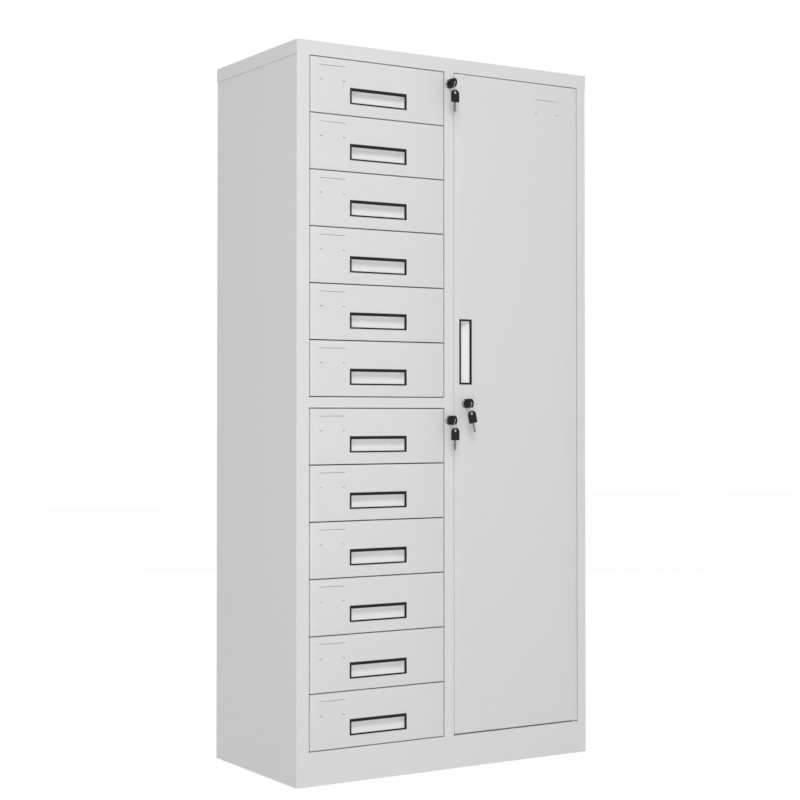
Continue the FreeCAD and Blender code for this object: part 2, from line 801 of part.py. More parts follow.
def door_panel():
    """The folded outer pan of the door with its upright recess, lock hole and pivot holes."""
    wall = "pull_sleeve + pull_fit"
    deep = "%s + door_pull_bar - (%s)" % (DOOR_PULL_X[0], wall)
    shallow = "%s - door_pull_bar + %s" % (DOOR_PULL_X[1], wall)
    low = "%s + door_pull_bar - (%s)" % (DOOR_PULL_Z[0], wall)
    top = "%s - door_pull_bar + %s" % (DOOR_PULL_Z[1], wall)
    body = add("PartDesign::Body", "door_panel")
    hollow_pan(body, "door", ("leaf_left", "leaf_right"), ("leaf_low", "leaf_top"),
               "door_thickness", ("%s - scoop_wall" % deep, "%s + scoop_wall" % shallow),
               ("%s - scoop_wall" % low, "%s + scoop_wall" % top),
               round_edges, "fold_radius", "door_back_gauge")
    recess = sketch_on(body, "door_scoop_section", "XY_Plane", "door_pull_centre")
    draw(recess, [
        (deep, "front_y - overcut"),
        (shallow, "front_y - overcut"),
        (shallow, "front_y + scoop_lip", "scoop_radius"),
        ("%s + scoop_crown" % deep, "front_y + scoop_depth"),
        (deep, "front_y + scoop_depth"),
    ])
    pocket(body, "door_scoop", recess, "(%s) - (%s)" % (top, low), midplane=True)
    card_x = ("leaf_right - door_card_inset - door_card_length", "leaf_right - door_card_inset")
    card_holder(body, "door_card", card_x, "leaf_top - door_card_drop",
                "leaf_top - door_card_drop - card_tab_drop")
    lock_hole = sketch_on(body, "door_lock_outline", "XZ_Plane", "-front_y")
    draw_circle(lock_hole, "door_lock_x", DOOR_LOCK_Z, "barrel_bore + 2 * barrel_clearance")
    pocket(body, "door_lock_hole", lock_hole, "2 * casing_gauge")
    bushes = sketch_on(body, "bush_outline", "XY_Plane", "leaf_low")
    draw_circle(bushes, "pivot_x", "pivot_y", BUSH_OUTSIDE)
    pocket(body, "bush_holes", bushes, "leaf_top - leaf_low", reverse=True)
    return finished(body, "door_panel")


BUSH_INSIDE = "pivot_pin_bore + 2 * bush_clearance"
BUSH_OUTSIDE = "pivot_pin_bore + 2 * bush_clearance + 2 * bush_wall"

door_panel()


def door_back_panel():
    """The flat sheet that closes the door behind, set between the pan's folded edges."""
    inset = "casing_gauge + cap_clearance"
    sheet_behind = block("door_back_sheet", ("leaf_left + " + inset, "leaf_right - (%s)" % inset),
                         ("front_y + door_thickness - door_back_gauge", "front_y + door_thickness"),
                         ("leaf_low + " + inset, "leaf_top - (%s)" % inset))
    hole = rod("door_back_hole", "y", ("door_lock_x", "front_y", DOOR_LOCK_Z),
               "2 * door_thickness", "barrel_bore + 2 * barrel_clearance")
    return finished(cut("door_back_panel", sheet_behind, [hole]), "door_back_panel")


door_back_panel()
pull_frame("door_pull", DOOR_PULL_X, DOOR_PULL_Z, ["door_pull_bar"] * 4)


def door_bush(label, z):
    """A plain nylon bush set in the edge of the door."""
    outside = rod(label + "_outside", "z", ("pivot_x", "pivot_y", z), "pivot_engagement",
                  BUSH_OUTSIDE + " - 2 * bush_clearance")
    inside = rod(label + "_bore", "z", ("pivot_x", "pivot_y", z), "pivot_engagement", BUSH_INSIDE)
    return cut(label, outside, [inside])


def pivot_pin(label, shank_z, head_z):
    """A headed pin through a rail's return and into the door's bush."""
    shank = rod(label + "_shank", "z", ("pivot_x", "pivot_y", shank_z),
                "pivot_engagement + front_gap + casing_gauge", "pivot_pin_bore")
    head = rod(label + "_head", "z", ("pivot_x", "pivot_y", head_z), "pivot_head_height",
               "pivot_head")
    return joined(label, [shank, head])


finished(grouped("door_bushes", [
    door_bush("lower_bush", "leaf_low"),
    door_bush("upper_bush", "leaf_top - pivot_engagement"),
]), "door_bushes")
finished(grouped("door_pivot_pins", [
    pivot_pin("lower_pin", "plinth_height - casing_gauge",
              "plinth_height - casing_gauge - pivot_head_height"),
    pivot_pin("upper_pin", "leaf_top - pivot_engagement", "opening_top + casing_gauge"),
]), "door_pivot_pins")


# Locks and keys

def lock_barrel(label, x, z):
    """A bored barrel with the collar that shows on the face."""
    body = rod(label + "_body", "y", (x, "front_y", z), "barrel_length", "barrel_bore")
    collar = rod(label + "_collar", "y", (x, "front_y - collar_proud", z), "collar_proud",
                 "collar_bore")
    bore = rod(label + "_bore", "y", (x, "front_y - collar_proud", z),
               "collar_proud + barrel_length", "plug_bore + 2 * plug_clearance")
    return cut(label, joined(label + "_solid", [body, collar]), [bore])


def lock_plug(label, x, z, cam_x, cam_z, pin_x=None):
    """The turning plug with its keyway, and the cam riveted on its inner end."""
    plug = rod(label + "_plug", "y", (x, "front_y - collar_proud", z),
               "collar_proud + barrel_length + cam_space", "plug_bore")
    half_slot = "(key_blade_gauge / 2 + keyway_clearance)"
    half_height = "(key_blade_width / 2 + keyway_clearance)"
    slot_end = "front_y - collar_proud - key_stand_off + key_blade_length + keyway_clearance"
    keyway = block(label + "_keyway", (x + " - " + half_slot, x + " + " + half_slot),
                   ("front_y - collar_proud - overcut", slot_end),
                   ("%s - %s" % (z, half_height), "%s + %s" % (z, half_height)))
    cam = block(label + "_cam", cam_x, ("cam_front", "cam_front + cam_gauge"), cam_z)
    pieces = [cut(label + "_core", plug, [keyway]), cam]
    if pin_x:
        pieces.append(rod(label + "_pin", "y", (pin_x, "cam_front + cam_gauge", z),
                          "bar_gap + bar_gauge + cam_space", "cam_pin_bore"))
    return finished(joined(label, pieces), label)


def gang_plug(label, z):
    return lock_plug(
        label, "lock_x", z,
        ("lock_x - cam_throw - gang_cam_tip", "lock_x + gang_cam_width / 2"),
        ("%s - gang_cam_width / 2" % z, "%s + gang_cam_width / 2" % z),
        "lock_x - cam_throw")


STRAIGHT = FreeCAD.Rotation()
HANGING = (FreeCAD.Rotation(FreeCAD.Vector(0, 0, 1), 90)
           * FreeCAD.Rotation(FreeCAD.Vector(1, 0, 0), -90))


def key(label, x, z, rotation):
    """A key about its eye, its blade along Y and its bow flat in the YZ plane."""
    tail = "-key_eye_edge"
    shoulder = "key_bow_length - key_eye_edge"
    half = "key_bow_width / 2"
    curve = "key_bow_radius"
    body = add("PartDesign::Body", label)
    bow = sketch_on(body, label + "_bow_outline", "YZ_Plane")
    draw(bow, [
        ("%s + %s" % (tail, curve), "-" + half),
        (shoulder + " - key_shoulder", "-" + half),
        (shoulder, "-%s + key_shoulder" % half),
        (shoulder, "%s - key_shoulder" % half),
        (shoulder + " - key_shoulder", half),
        ("%s + %s" % (tail, curve), half, curve),
        (tail, "%s - %s" % (half, curve)),
        (tail, "-%s + %s" % (half, curve), curve),
    ])
    pad(body, label + "_bow", bow, "key_bow_thick", midplane=True)
    eye = sketch_on(body, label + "_eye_outline", "YZ_Plane")
    draw_circle(eye, "0", "0", "key_eye_bore")
    pocket(body, label + "_eye", eye, "key_bow_thick", midplane=True)
    blade = sketch_on(body, label + "_blade_outline", "YZ_Plane")
    draw(blade, rectangle(("%s - overcut" % shoulder, "%s + key_blade_length" % shoulder),
                          ("-key_blade_width / 2", "key_blade_width / 2")))
    pad(body, label + "_blade", blade, "key_blade_gauge", midplane=True)
    place(body, x, "key_eye_y", z, rotation)
    return finished(body, label)


def key_ring(label, x, z):
    """The thin ring through both keys' eyes, upright and turned halfway between their planes."""
    outer = many_sided(label + "_outer", "-ring_wire / 2", "ring_wire", "ring_bore + ring_wire")
    inner = many_sided(label + "_inner", "-ring_wire", "2 * ring_wire", "ring_bore - ring_wire")
    ring = cut(label, outer, [inner])
    place(ring, x, "key_eye_y", "%s - ring_drop - ring_bore / 2" % z,
          FreeCAD.Rotation(FreeCAD.Vector(1, 1, 0), 90))
    return finished(ring, label)


SPARE_DROP = "2 * ring_drop + ring_bore"


def keys(name, x, z, tilt):
    key(name + "_key", x, z, STRAIGHT)
    key_ring(name + "_key_ring", x, z)
    lean = FreeCAD.Rotation(FreeCAD.Vector(0, -1, 0), tilt)
    key(name + "_spare_key", x, "%s - (%s)" % (z, SPARE_DROP), lean * HANGING)


finished(grouped("stile_lock_barrels", [
    lock_barrel("upper_barrel", "lock_x", UPPER_LOCK_Z),
    lock_barrel("lower_barrel", "lock_x", LOWER_LOCK_Z),
]), "stile_lock_barrels")
finished(lock_barrel("door_lock_barrel", "door_lock_x", DOOR_LOCK_Z), "door_lock_barrel")
gang_plug("upper_lock_plug", UPPER_LOCK_Z)
gang_plug("lower_lock_plug", LOWER_LOCK_Z)
lock_plug("door_lock_plug", "door_lock_x", DOOR_LOCK_Z,
          ("door_lock_x - cam_width / 2", "door_lock_x + cam_width / 2"),
          (DOOR_LOCK_Z + " - cam_width / 2", DOOR_LOCK_Z + " + door_cam_reach"))
keys("upper", "lock_x", UPPER_LOCK_Z, 0)
keys("lower", "lock_x", LOWER_LOCK_Z, 0)
keys("door", "door_lock_x", DOOR_LOCK_Z, DRIVING_SIZES["door_spare_tilt"])


def gang_bar(label, bank_low, lock_z, drawers):
    """A flat bar that the cam's pin lifts, with a finger welded on for each drawer."""
    plate = block(label + "_plate", ("bar_left", "bar_left + bar_width"),
                  ("bar_front", "bar_back"),
                  (bank_low + " + bar_end_space", lock_z + " + bar_end_space"))
    window = block(label + "_window",
                   ("bar_left - overcut", "lock_x + cam_pin_bore / 2 + finger_slack"),
                   ("bar_front - overcut", "bar_back + overcut"),
                   (lock_z + " - cam_pin_bore / 2 - finger_slack",
                    lock_z + " + cam_pin_bore / 2 + window_slack"))
    pieces = [cut(label + "_strip", plate, [window])]
    for index in drawers:
        low = drawer_floor(index) + " + finger_lift"
        pieces.append(block("%s_finger_%02d" % (label, index),
                            ("tray_right + finger_tip_space", "bar_left"),
                            ("bar_front", "bar_back"), (low, low + " + finger_height")))
    return finished(grouped(label, pieces), label)


BANK_SIZE = int(DRIVING_SIZES["drawers_in_bank"])
gang_bar("upper_lock_bar", "upper_bank", UPPER_LOCK_Z, DRAWERS[:BANK_SIZE])
gang_bar("lower_lock_bar", "lower_bank", LOWER_LOCK_Z, DRAWERS[BANK_SIZE:])


# Shelves behind the door

SHELF_X = ("door_left + shelf_side_space", "side_right - casing_gauge - shelf_side_space")
SHELF_Y = ("front_y + shelf_setback", "inner_back - shelf_rear_space")
SHELVES = range(1, int(DRIVING_SIZES["shelf_count"]) + 1)


def shelf_top(index):
    return "plinth_height + %d * (opening_top - plinth_height) / (shelf_count + 1)" % index


def shelf(index):
    top = shelf_top(index)
    edge = top + " - shelf_flange"
    return folded_sheet("shelf_%d" % index, "YZ_Plane", [
        (SHELF_Y[1], edge), (SHELF_Y[1], top), (SHELF_Y[0], top), (SHELF_Y[0], edge),
    ], "casing_gauge", *SHELF_X)


def shelf_clips(index):
    """The four angles that a shelf rests on, two on each wall."""
    seat = shelf_top(index) + " - casing_gauge"
    right_wall = "side_right - casing_gauge"
    lines = {
        "left": [("door_left + clip_width", seat), ("door_left", seat),
                 ("door_left", seat + " - clip_drop")],
        "right": [(right_wall, seat + " - clip_drop"), (right_wall, seat),
                  (right_wall + " - clip_width", seat)],
    }
    starts = {"front": "inner_front + clip_inset",
              "rear": "inner_back - clip_inset - clip_length"}
    return [folded_sheet("clip_%d_%s_%s" % (index, side, end), "XZ_Plane", line, "clip_gauge",
                         start, start + " + clip_length")
            for side, line in lines.items() for end, start in starts.items()]


finished(grouped("shelves", [shelf(index) for index in SHELVES]), "shelves")
finished(grouped("shelf_clips", [clip for index in SHELVES for clip in shelf_clips(index)]),
         "shelf_clips")


# Check every object and write each sub-part

document.recompute()
for item in document.Objects:
    if any(word in state for state in item.State for word in ("Invalid", "Error")):
        raise RuntimeError("%s failed: %s" % (item.Label, item.State))
for item in NODES:
    if item.Shape.isNull() or not item.Shape.isValid():
        raise RuntimeError("%s has no valid shape" % item.Label)
os.makedirs("parts", exist_ok=True)
for item in NODES:
    item.Shape.exportStep("parts/%s.step" % item.Label)
print("%d sub-parts, %.1f wide, %.1f high, %.1f deep" % (
    len(NODES), number("cabinet_width"), number("cabinet_height"), number("cabinet_depth")))
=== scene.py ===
"""Looks of the multi-drawer file cabinet: powder coat, pulls, locks, keys and the studio."""

import json
import math

import bmesh
import bpy
from mathutils import Matrix, Vector

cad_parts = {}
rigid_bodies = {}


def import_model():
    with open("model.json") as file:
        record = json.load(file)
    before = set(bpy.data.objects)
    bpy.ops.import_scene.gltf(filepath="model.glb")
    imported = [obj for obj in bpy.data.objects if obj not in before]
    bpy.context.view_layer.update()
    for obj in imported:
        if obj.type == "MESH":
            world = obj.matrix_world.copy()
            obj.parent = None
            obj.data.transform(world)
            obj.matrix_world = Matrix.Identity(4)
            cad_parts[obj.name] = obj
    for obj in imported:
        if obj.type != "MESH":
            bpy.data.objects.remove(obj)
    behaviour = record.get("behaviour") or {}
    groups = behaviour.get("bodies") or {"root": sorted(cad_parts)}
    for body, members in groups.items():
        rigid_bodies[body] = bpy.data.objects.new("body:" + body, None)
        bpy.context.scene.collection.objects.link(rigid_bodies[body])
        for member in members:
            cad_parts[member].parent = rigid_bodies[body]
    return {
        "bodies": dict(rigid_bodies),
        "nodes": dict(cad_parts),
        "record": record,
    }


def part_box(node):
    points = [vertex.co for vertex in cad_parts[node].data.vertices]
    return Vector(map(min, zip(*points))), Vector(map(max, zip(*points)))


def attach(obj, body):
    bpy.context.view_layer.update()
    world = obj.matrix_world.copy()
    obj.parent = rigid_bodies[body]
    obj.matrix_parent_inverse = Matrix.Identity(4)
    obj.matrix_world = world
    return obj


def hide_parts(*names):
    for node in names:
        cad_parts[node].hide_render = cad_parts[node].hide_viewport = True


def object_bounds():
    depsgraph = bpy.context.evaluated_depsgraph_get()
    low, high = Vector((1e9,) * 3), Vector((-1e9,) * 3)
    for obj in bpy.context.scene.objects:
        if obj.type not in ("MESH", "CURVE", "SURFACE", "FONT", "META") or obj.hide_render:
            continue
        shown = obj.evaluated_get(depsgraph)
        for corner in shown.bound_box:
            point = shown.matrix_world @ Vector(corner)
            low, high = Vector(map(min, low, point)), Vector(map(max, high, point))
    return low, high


bl_info = {
    "name": "File Cabinet Looks",
    "version": (1, 0, 0),
    "blender": (4, 5, 0),
    "location": "3D View > Sidebar > Cabinet",
    "description": "Dresses the file cabinet's solids and sets up its studio",
    "category": "Object",
}

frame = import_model()
CAD_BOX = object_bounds()
MM = 0.001
DRAWER_NAMES = sorted(name for name in frame["bodies"] if name.startswith("drawer_"))
FRONT_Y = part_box("centre_stile")[0].y
FLOOR_REACH = 12.0

# How finely the curved forms are divided
FOLD_SEGMENTS = 4
ROUND_SEGMENTS = 4
SCOOP_STEPS = 16
DOME_STEPS = 6
RING_STEPS = 72
WIRE_SIDES = 10
EYE_SIDES = 28
BOW_SEGMENTS = 8

# Mesh work: the distance under which corners are one, and the angle of an edge to round
WELD = 1e-6
HARD_EDGE = 1.0
KEY_EDGE = 0.9

# Shares: the key's cuts of its blade's width, the rounding of the blade's tip of half its
# width, the slope inside the bow's rim of the rim's width, a tab's rounding of its stand
KEY_CUTS = (0.12, 0.3, 0.18, 0.34, 0.1)
TIP_ROUNDING = 0.6
RIM_SLOPE = 0.25
TAB_ROUNDING = 0.4

# A pressed front's powder coat and the recess's lighter copy of it, which paints the light that
# the recess's upturned floor catches, and the place of the recess's in the list
PRESSED_COAT_AND_PAINTED_LIGHT = ("front_powder_coat", "recess_coat")
RECESS_PAINTED_LIGHT = 1

# Places of the Mix node's sockets that share their names with others
MIX_SHARE = 0
MIX_VALUES = (2, 3)
MIX_COLOURS = (6, 7)
MIXED_VALUE = 0
MIXED_COLOUR = 2

WHITE = (1.0, 1.0, 1.0, 1.0)
DUST = (0.66, 0.645, 0.62, 1.0)
ZINC = (0.56, 0.575, 0.59)
NYLON = (0.78, 0.77, 0.73)
KEY_BLACK = (0.008, 0.008, 0.009)
LOCK_CHROME = (0.22, 0.22, 0.225)
KEY_STEEL = (0.2, 0.196, 0.192)
RING_STEEL = (0.50, 0.50, 0.51)
FLOOR_GREY = (0.86, 0.86, 0.86)

# Each light's name, place, aim, size and the setting that holds its power
LIGHTS = (
    ("high_light", (-2.2, -4.5, 5.5), (0, 0, 0.95), (3.0, 3.0), "key_power"),
    ("low_light", (-1.6, -3.2, 0.7), (-0.1, -0.2, 0.7), (2.0, 1.2), "fill_power"),
    ("side_light", (-4.6, 0.2, 2.4), (0, 0, 0.9), (2.6, 3.0), "side_power"),
    ("back_light", (2.9, 4.2, 1.7), (0, 0, 0.9), (3.2, 3.2), "back_power"))


# Settings a user would change

class CabinetFinish(bpy.types.PropertyGroup):
    """Colours and surface of the coated sheet, the mouldings and the metal"""
    coat: bpy.props.FloatVectorProperty(
        name="Powder Coat", description="Colour of the casing", subtype="COLOR", size=3,
        default=(0.712, 0.714, 0.709), min=0, max=1)
    front_coat: bpy.props.FloatVectorProperty(
        name="Front Coat", description="Colour of the drawer fronts and door", subtype="COLOR",
        size=3, default=(0.705, 0.706, 0.705), min=0, max=1)
    # The recesses are the front's own pressed sheet: their lighter colour is painted light,
    # standing in for the light their upturned floors catch
    recess_coat: bpy.props.FloatVectorProperty(
        name="Recess Coat", description="Colour of the finger recesses", subtype="COLOR",
        size=3, default=(0.84, 0.84, 0.835), min=0, max=1)
    black: bpy.props.FloatVectorProperty(
        name="Moulding", description="Colour of the pull frames", subtype="COLOR", size=3,
        default=(0.008, 0.008, 0.009), min=0, max=1)
    coat_roughness: bpy.props.FloatProperty(
        name="Coat Roughness", description="Roughness of the powder coat", default=0.42,
        min=0, max=1, subtype="FACTOR")
    peel_scale: bpy.props.FloatProperty(
        name="Peel Scale", description="Noise scale of the powder coat's texture", default=420.0)


def length(name, millimetres, text):
    """A length setting, its default given in millimetres."""
    return bpy.props.FloatProperty(name=name, description=text, default=millimetres * MM,
                                   unit="LENGTH")


class CabinetSizes(bpy.types.PropertyGroup):
    """Sizes of the forms that the solids only outline"""
    fold: length("Fold Radius", 1.1, "Outside radius of a folded edge")
    edge_shade: length("Edge Shading", 0.6, "Radius as which the casing's edges are shaded")
    sheet: length("Sheet", 1.0, "Thickness of the coated sheet")
    front_height: length("Front Height", 138.8, "Height of a drawer's front")
    front_room: length("Front Room", 0.9, "Set-back of a front's sides from its solid's")
    front_depth: length("Front Depth", 18.0, "Depth of a drawer's folded edges")
    door_depth: length("Door Depth", 20.0, "Depth of the door's folded edges")
    pull_rise: length("Pull Rise", 49.1, "Middle of a drawer's pull above its lower edge")
    side_bar: length("Side Bar", 4.6, "Width of the sides of a drawer's pull frame")
    # The top bar is drawn wider than the frame's top really is, so that its black also covers the
    # shade under the recess's lip: partly real frame, partly painted shade
    top_bar: length("Top Bar", 7.6, "Width of the top of a drawer's pull frame")
    low_bar: length("Low Bar", 3.8, "Width of the foot of a drawer's pull frame")
    door_foot: length("Door Foot", 1.6, "Lift of the door leaf's lower edge over its solid's")
    door_bar: length("Door Bar", 5.0, "Width of the door's pull frame")
    sleeve: length("Sleeve", 1.0, "Wall of the sleeve that lines a recess")
    sleeve_fit: length("Sleeve Fit", 0.1, "Room round the sleeve")
    frame_round: length("Frame Rounding", 0.55, "Rounding of a pull frame's edges")
    lip: length("Recess Lip", 4.0, "Depth of the shallow edge of a recess")
    scoop: length("Recess Depth", 14.0, "Depth of a finger recess")
    scoop_radius: length("Recess Radius", 30.0, "Radius of the curved floor of a recess")
    scoop_crown: length("Recess Crown", 6.0, "Flat at the deep edge of a recess")
    slit_length: length("Slit Length", 73.2, "Length of a drawer's card slit")
    slit_height: length("Slit Height", 0.9, "Height of a card slit")
    slit_drop: length("Slit Drop", 18.6, "Middle of a card slit below the top of the front")
    slit_inset: length("Slit Inset", 26.8, "Card slit from the front's left edge")
    door_slit_length: length("Door Slit Length", 78.5, "Length of the door's card slit")
    door_slit_drop: length("Door Slit Drop", 43.5, "Door's card slit below its top edge")
    door_slit_inset: length("Door Slit Inset", 62.0, "Door's card slit from its right edge")
    tab_drop: length("Tab Drop", 36.0, "Lanced tabs below the card slit")
    tab_inset: length("Tab Inset", 4.3, "Middle of a tab from the slit's end")
    tab_length: length("Tab Length", 6.4, "Length of a lanced tab")
    tab_height: length("Tab Height", 2.8, "Height of a tab's opening")
    tab_proud: length("Tab Proud", 0.8, "Stand of a lanced tab off the face")
    collar: length("Lock Collar", 24.4, "Diameter of a lock's collar")
    collar_proud: length("Collar Proud", 3.5, "Stand of a collar off the face")
    collar_edge: length("Collar Edge", 0.8, "Height of the collar's rim under its dome")
    collar_flat: bpy.props.FloatProperty(
        name="Collar Flat", description="Flat of the collar's dome as a share of its radius",
        default=0.58, min=0.5, max=1)
    barrel: length("Barrel", 18.0, "Diameter of a lock's barrel")
    barrel_length: length("Barrel Length", 22.0, "Length of a barrel behind the face")
    plug: length("Plug Bore", 12.1, "Diameter of the bore that holds the plug")
    bow_width: length("Bow Width", 24.0, "Height of a key's moulded bow")
    bow_length: length("Bow Length", 32.5, "Length of a key's moulded bow")
    bow_thick: length("Bow Thickness", 3.2, "Thickness of a key's moulded bow")
    bow_radius: length("Bow Radius", 11.6, "Radius of the bow's outer corners")
    bow_shoulder: length("Bow Shoulder", 1.8, "Radius of the bow's corners by the blade")
    bow_round: length("Bow Rounding", 0.6, "Rounding of the bow's rims")
    bow_rim: length("Bow Rim", 1.6, "Width of the raised rim round the bow's face")
    bow_sink: length("Bow Sink", 0.35, "Depth of the bow's sunk face")
    eye: length("Eye", 8.2, "Diameter of a key's eye")
    eye_edge: length("Eye Edge", 7.5, "Middle of the eye from the bow's outer end")
    blade_length: length("Blade Length", 25.0, "Length of a key's blade")
    blade_width: length("Blade Width", 6.0, "Width of a key's blade")
    blade_thick: length("Blade Thickness", 1.8, "Thickness of a key's blade")
    blade_taper: length("Blade Taper", 0.8, "How much narrower each edge is at the tip")
    blade_round: length("Blade Rounding", 0.15, "Rounding of the blade's edges")
    ring: length("Ring", 24.0, "Mean diameter of a key ring")
    ring_wire: length("Ring Wire", 1.0, "Diameter of the key ring's wire")
    ring_drop: length("Ring Drop", 1.3, "Drop of the ring's top below the eye's middle")
    door_tilt: bpy.props.FloatProperty(
        name="Door Spare Tilt", description="Lean of the door's hanging key",
        default=math.radians(12), subtype="ANGLE")


class CabinetStudio(bpy.types.PropertyGroup):
    """Camera and light"""
    lens: bpy.props.FloatProperty(
        name="Lens", description="Focal length on a 36 mm sensor", default=77.09)
    yaw: bpy.props.FloatProperty(
        name="Yaw", description="Turn of the view to the right of straight on",
        default=math.radians(31.8736), subtype="ANGLE")
    pitch: bpy.props.FloatProperty(
        name="Pitch", description="Rise of the view", default=math.radians(1.0327),
        subtype="ANGLE")
    shift: bpy.props.FloatProperty(
        name="Shift", description="Upward shift of the picture", default=-0.0198)
    stand: bpy.props.FloatVectorProperty(
        name="Camera Place",
        description="Camera from the floor under the casing's front left edge",
        default=(-2.01266, -3.72061, 0.91765), size=3, subtype="TRANSLATION", unit="LENGTH")
    key_power: bpy.props.FloatProperty(
        name="Key Light", description="Power of the large light high in front", default=196.0,
        subtype="POWER")
    fill_power: bpy.props.FloatProperty(
        name="Fill Light", description="Power of the low front light", default=22.0,
        subtype="POWER")
    side_power: bpy.props.FloatProperty(
        name="Side Light", description="Power of the left light", default=17.0, subtype="POWER")
    back_power: bpy.props.FloatProperty(
        name="Back Light", description="Power of the light behind", default=130.0,
        subtype="POWER")
    ambient: bpy.props.FloatProperty(
        name="Ambient", description="Strength of the even light from all round", default=0.37)
    floor_white: bpy.props.FloatProperty(
        name="Floor White", description="How far the floor reads as pure white to the camera",
        default=0.97, min=0, max=1, subtype="FACTOR")


def finish_settings():
    return bpy.context.scene.cabinet_finish


def sizes():
    return bpy.context.scene.cabinet_sizes


def studio_settings():
    return bpy.context.scene.cabinet_studio


# Node groups: effects that several materials share

def node(tree, kind, **values):
    """Add a node and set its inputs by name and its other settings by attribute."""
    item = tree.nodes.new(kind)
    for name, value in values.items():
        label = name.replace("_", " ").title()
        if label in item.inputs:
            item.inputs[label].default_value = value
        else:
            setattr(item, name, value)
    return item


def effect_group(name, inputs, outputs):
    """A new shader group with float or vector sockets, its input and output nodes."""
    group = bpy.data.node_groups.new(name, "ShaderNodeTree")
    for label, kind, value in inputs:
        socket = group.interface.new_socket(label, in_out="INPUT", socket_type=kind)
        if value is not None:
            socket.default_value = value
    for label, kind in outputs:
        group.interface.new_socket(label, in_out="OUTPUT", socket_type=kind)
    return group, group.nodes.new("NodeGroupInput"), group.nodes.new("NodeGroupOutput")


def orange_peel_group():
    """The low dimples of sprayed powder: a coarse ripple under a fine grain."""
    group, entry, result = effect_group(
        "orange_peel",
        [("Vector", "NodeSocketVector", None), ("Scale", "NodeSocketFloat", 400.0),
         ("Grain", "NodeSocketFloat", 0.35)],
        [("Height", "NodeSocketFloat")])
    ripple = node(group, "ShaderNodeTexNoise", detail=2.0, roughness=0.5)
    grain = node(group, "ShaderNodeTexNoise", detail=3.0, roughness=0.6)
    finer = node(group, "ShaderNodeMath", operation="MULTIPLY")
    finer.inputs[1].default_value = 3.7
    mix = node(group, "ShaderNodeMix")
    links = group.links
    links.new(entry.outputs["Vector"], ripple.inputs["Vector"])
    links.new(entry.outputs["Vector"], grain.inputs["Vector"])
    links.new(entry.outputs["Scale"], ripple.inputs["Scale"])
    links.new(entry.outputs["Scale"], finer.inputs[0])
    links.new(finer.outputs[0], grain.inputs["Scale"])
    links.new(entry.outputs["Grain"], mix.inputs["Factor"])
    links.new(ripple.outputs["Fac"], mix.inputs[MIX_VALUES[0]])
    links.new(grain.outputs["Fac"], mix.inputs[MIX_VALUES[1]])
    links.new(mix.outputs[MIXED_VALUE], result.inputs["Height"])
    return group


def tone_drift_group():
    """A slow change of tone over a large surface, centred on one."""
    group, entry, result = effect_group(
        "tone_drift",
        [("Vector", "NodeSocketVector", None), ("Scale", "NodeSocketFloat", 2.5),
         ("Amount", "NodeSocketFloat", 0.03)],
        [("Tone", "NodeSocketFloat"), ("Mask", "NodeSocketFloat")])
    cloud = node(group, "ShaderNodeTexNoise", detail=4.0, roughness=0.55)
    centred = node(group, "ShaderNodeMath", operation="SUBTRACT")
    centred.inputs[1].default_value = 0.5
    scaled = node(group, "ShaderNodeMath", operation="MULTIPLY_ADD")
    scaled.inputs[2].default_value = 1.0
    links = group.links
    links.new(entry.outputs["Vector"], cloud.inputs["Vector"])
    links.new(entry.outputs["Scale"], cloud.inputs["Scale"])
    links.new(cloud.outputs["Fac"], centred.inputs[0])
    links.new(centred.outputs[0], scaled.inputs[0])
    links.new(entry.outputs["Amount"], scaled.inputs[1])
    links.new(scaled.outputs[0], result.inputs["Tone"])
    links.new(cloud.outputs["Fac"], result.inputs["Mask"])
    return group


def dust_group():
    """A mask that gathers on surfaces that face up."""
    group, entry, result = effect_group(
        "settled_dust",
        [("Vector", "NodeSocketVector", None), ("Amount", "NodeSocketFloat", 0.1)],
        [("Mask", "NodeSocketFloat")])
    surface = node(group, "ShaderNodeNewGeometry")
    split = node(group, "ShaderNodeSeparateXYZ")
    facing = node(group, "ShaderNodeMapRange")
    facing.inputs["From Min"].default_value = 0.6
    speck = node(group, "ShaderNodeTexNoise", scale=55.0, detail=5.0)
    both = node(group, "ShaderNodeMath", operation="MULTIPLY")
    amount = node(group, "ShaderNodeMath", operation="MULTIPLY")
    links = group.links
    links.new(surface.outputs["Normal"], split.inputs[0])
    links.new(split.outputs["Z"], facing.inputs["Value"])
    links.new(entry.outputs["Vector"], speck.inputs["Vector"])
    links.new(facing.outputs["Result"], both.inputs[0])
    links.new(speck.outputs["Fac"], both.inputs[1])
    links.new(both.outputs[0], amount.inputs[0])
    links.new(entry.outputs["Amount"], amount.inputs[1])
    links.new(amount.outputs[0], result.inputs["Mask"])
    return group


def brushed_group():
    """Fine lines drawn out along one axis, for plated and turned metal."""
    group, entry, result = effect_group(
        "brushed_lines",
        [("Vector", "NodeSocketVector", None), ("Scale", "NodeSocketFloat", 900.0),
         ("Stretch", "NodeSocketVector", (1.0, 1.0, 0.04))],
        [("Height", "NodeSocketFloat")])
    stretched = node(group, "ShaderNodeVectorMath", operation="MULTIPLY")
    lines = node(group, "ShaderNodeTexNoise", detail=2.0)
    links = group.links
    links.new(entry.outputs["Vector"], stretched.inputs[0])
    links.new(entry.outputs["Stretch"], stretched.inputs[1])
    links.new(stretched.outputs[0], lines.inputs["Vector"])
    links.new(entry.outputs["Scale"], lines.inputs["Scale"])
    links.new(lines.outputs["Fac"], result.inputs["Height"])
    return group


GROUPS = {}
MATERIALS = {}


def placed_group(tree, name, vector, **values):
    """Place a shared effect in a material, fed with the piece's own coordinates."""
    item = tree.nodes.new("ShaderNodeGroup")
    item.node_tree = GROUPS[name]
    tree.links.new(vector, item.inputs["Vector"])
    for label, value in values.items():
        item.inputs[label].default_value = value
    return item


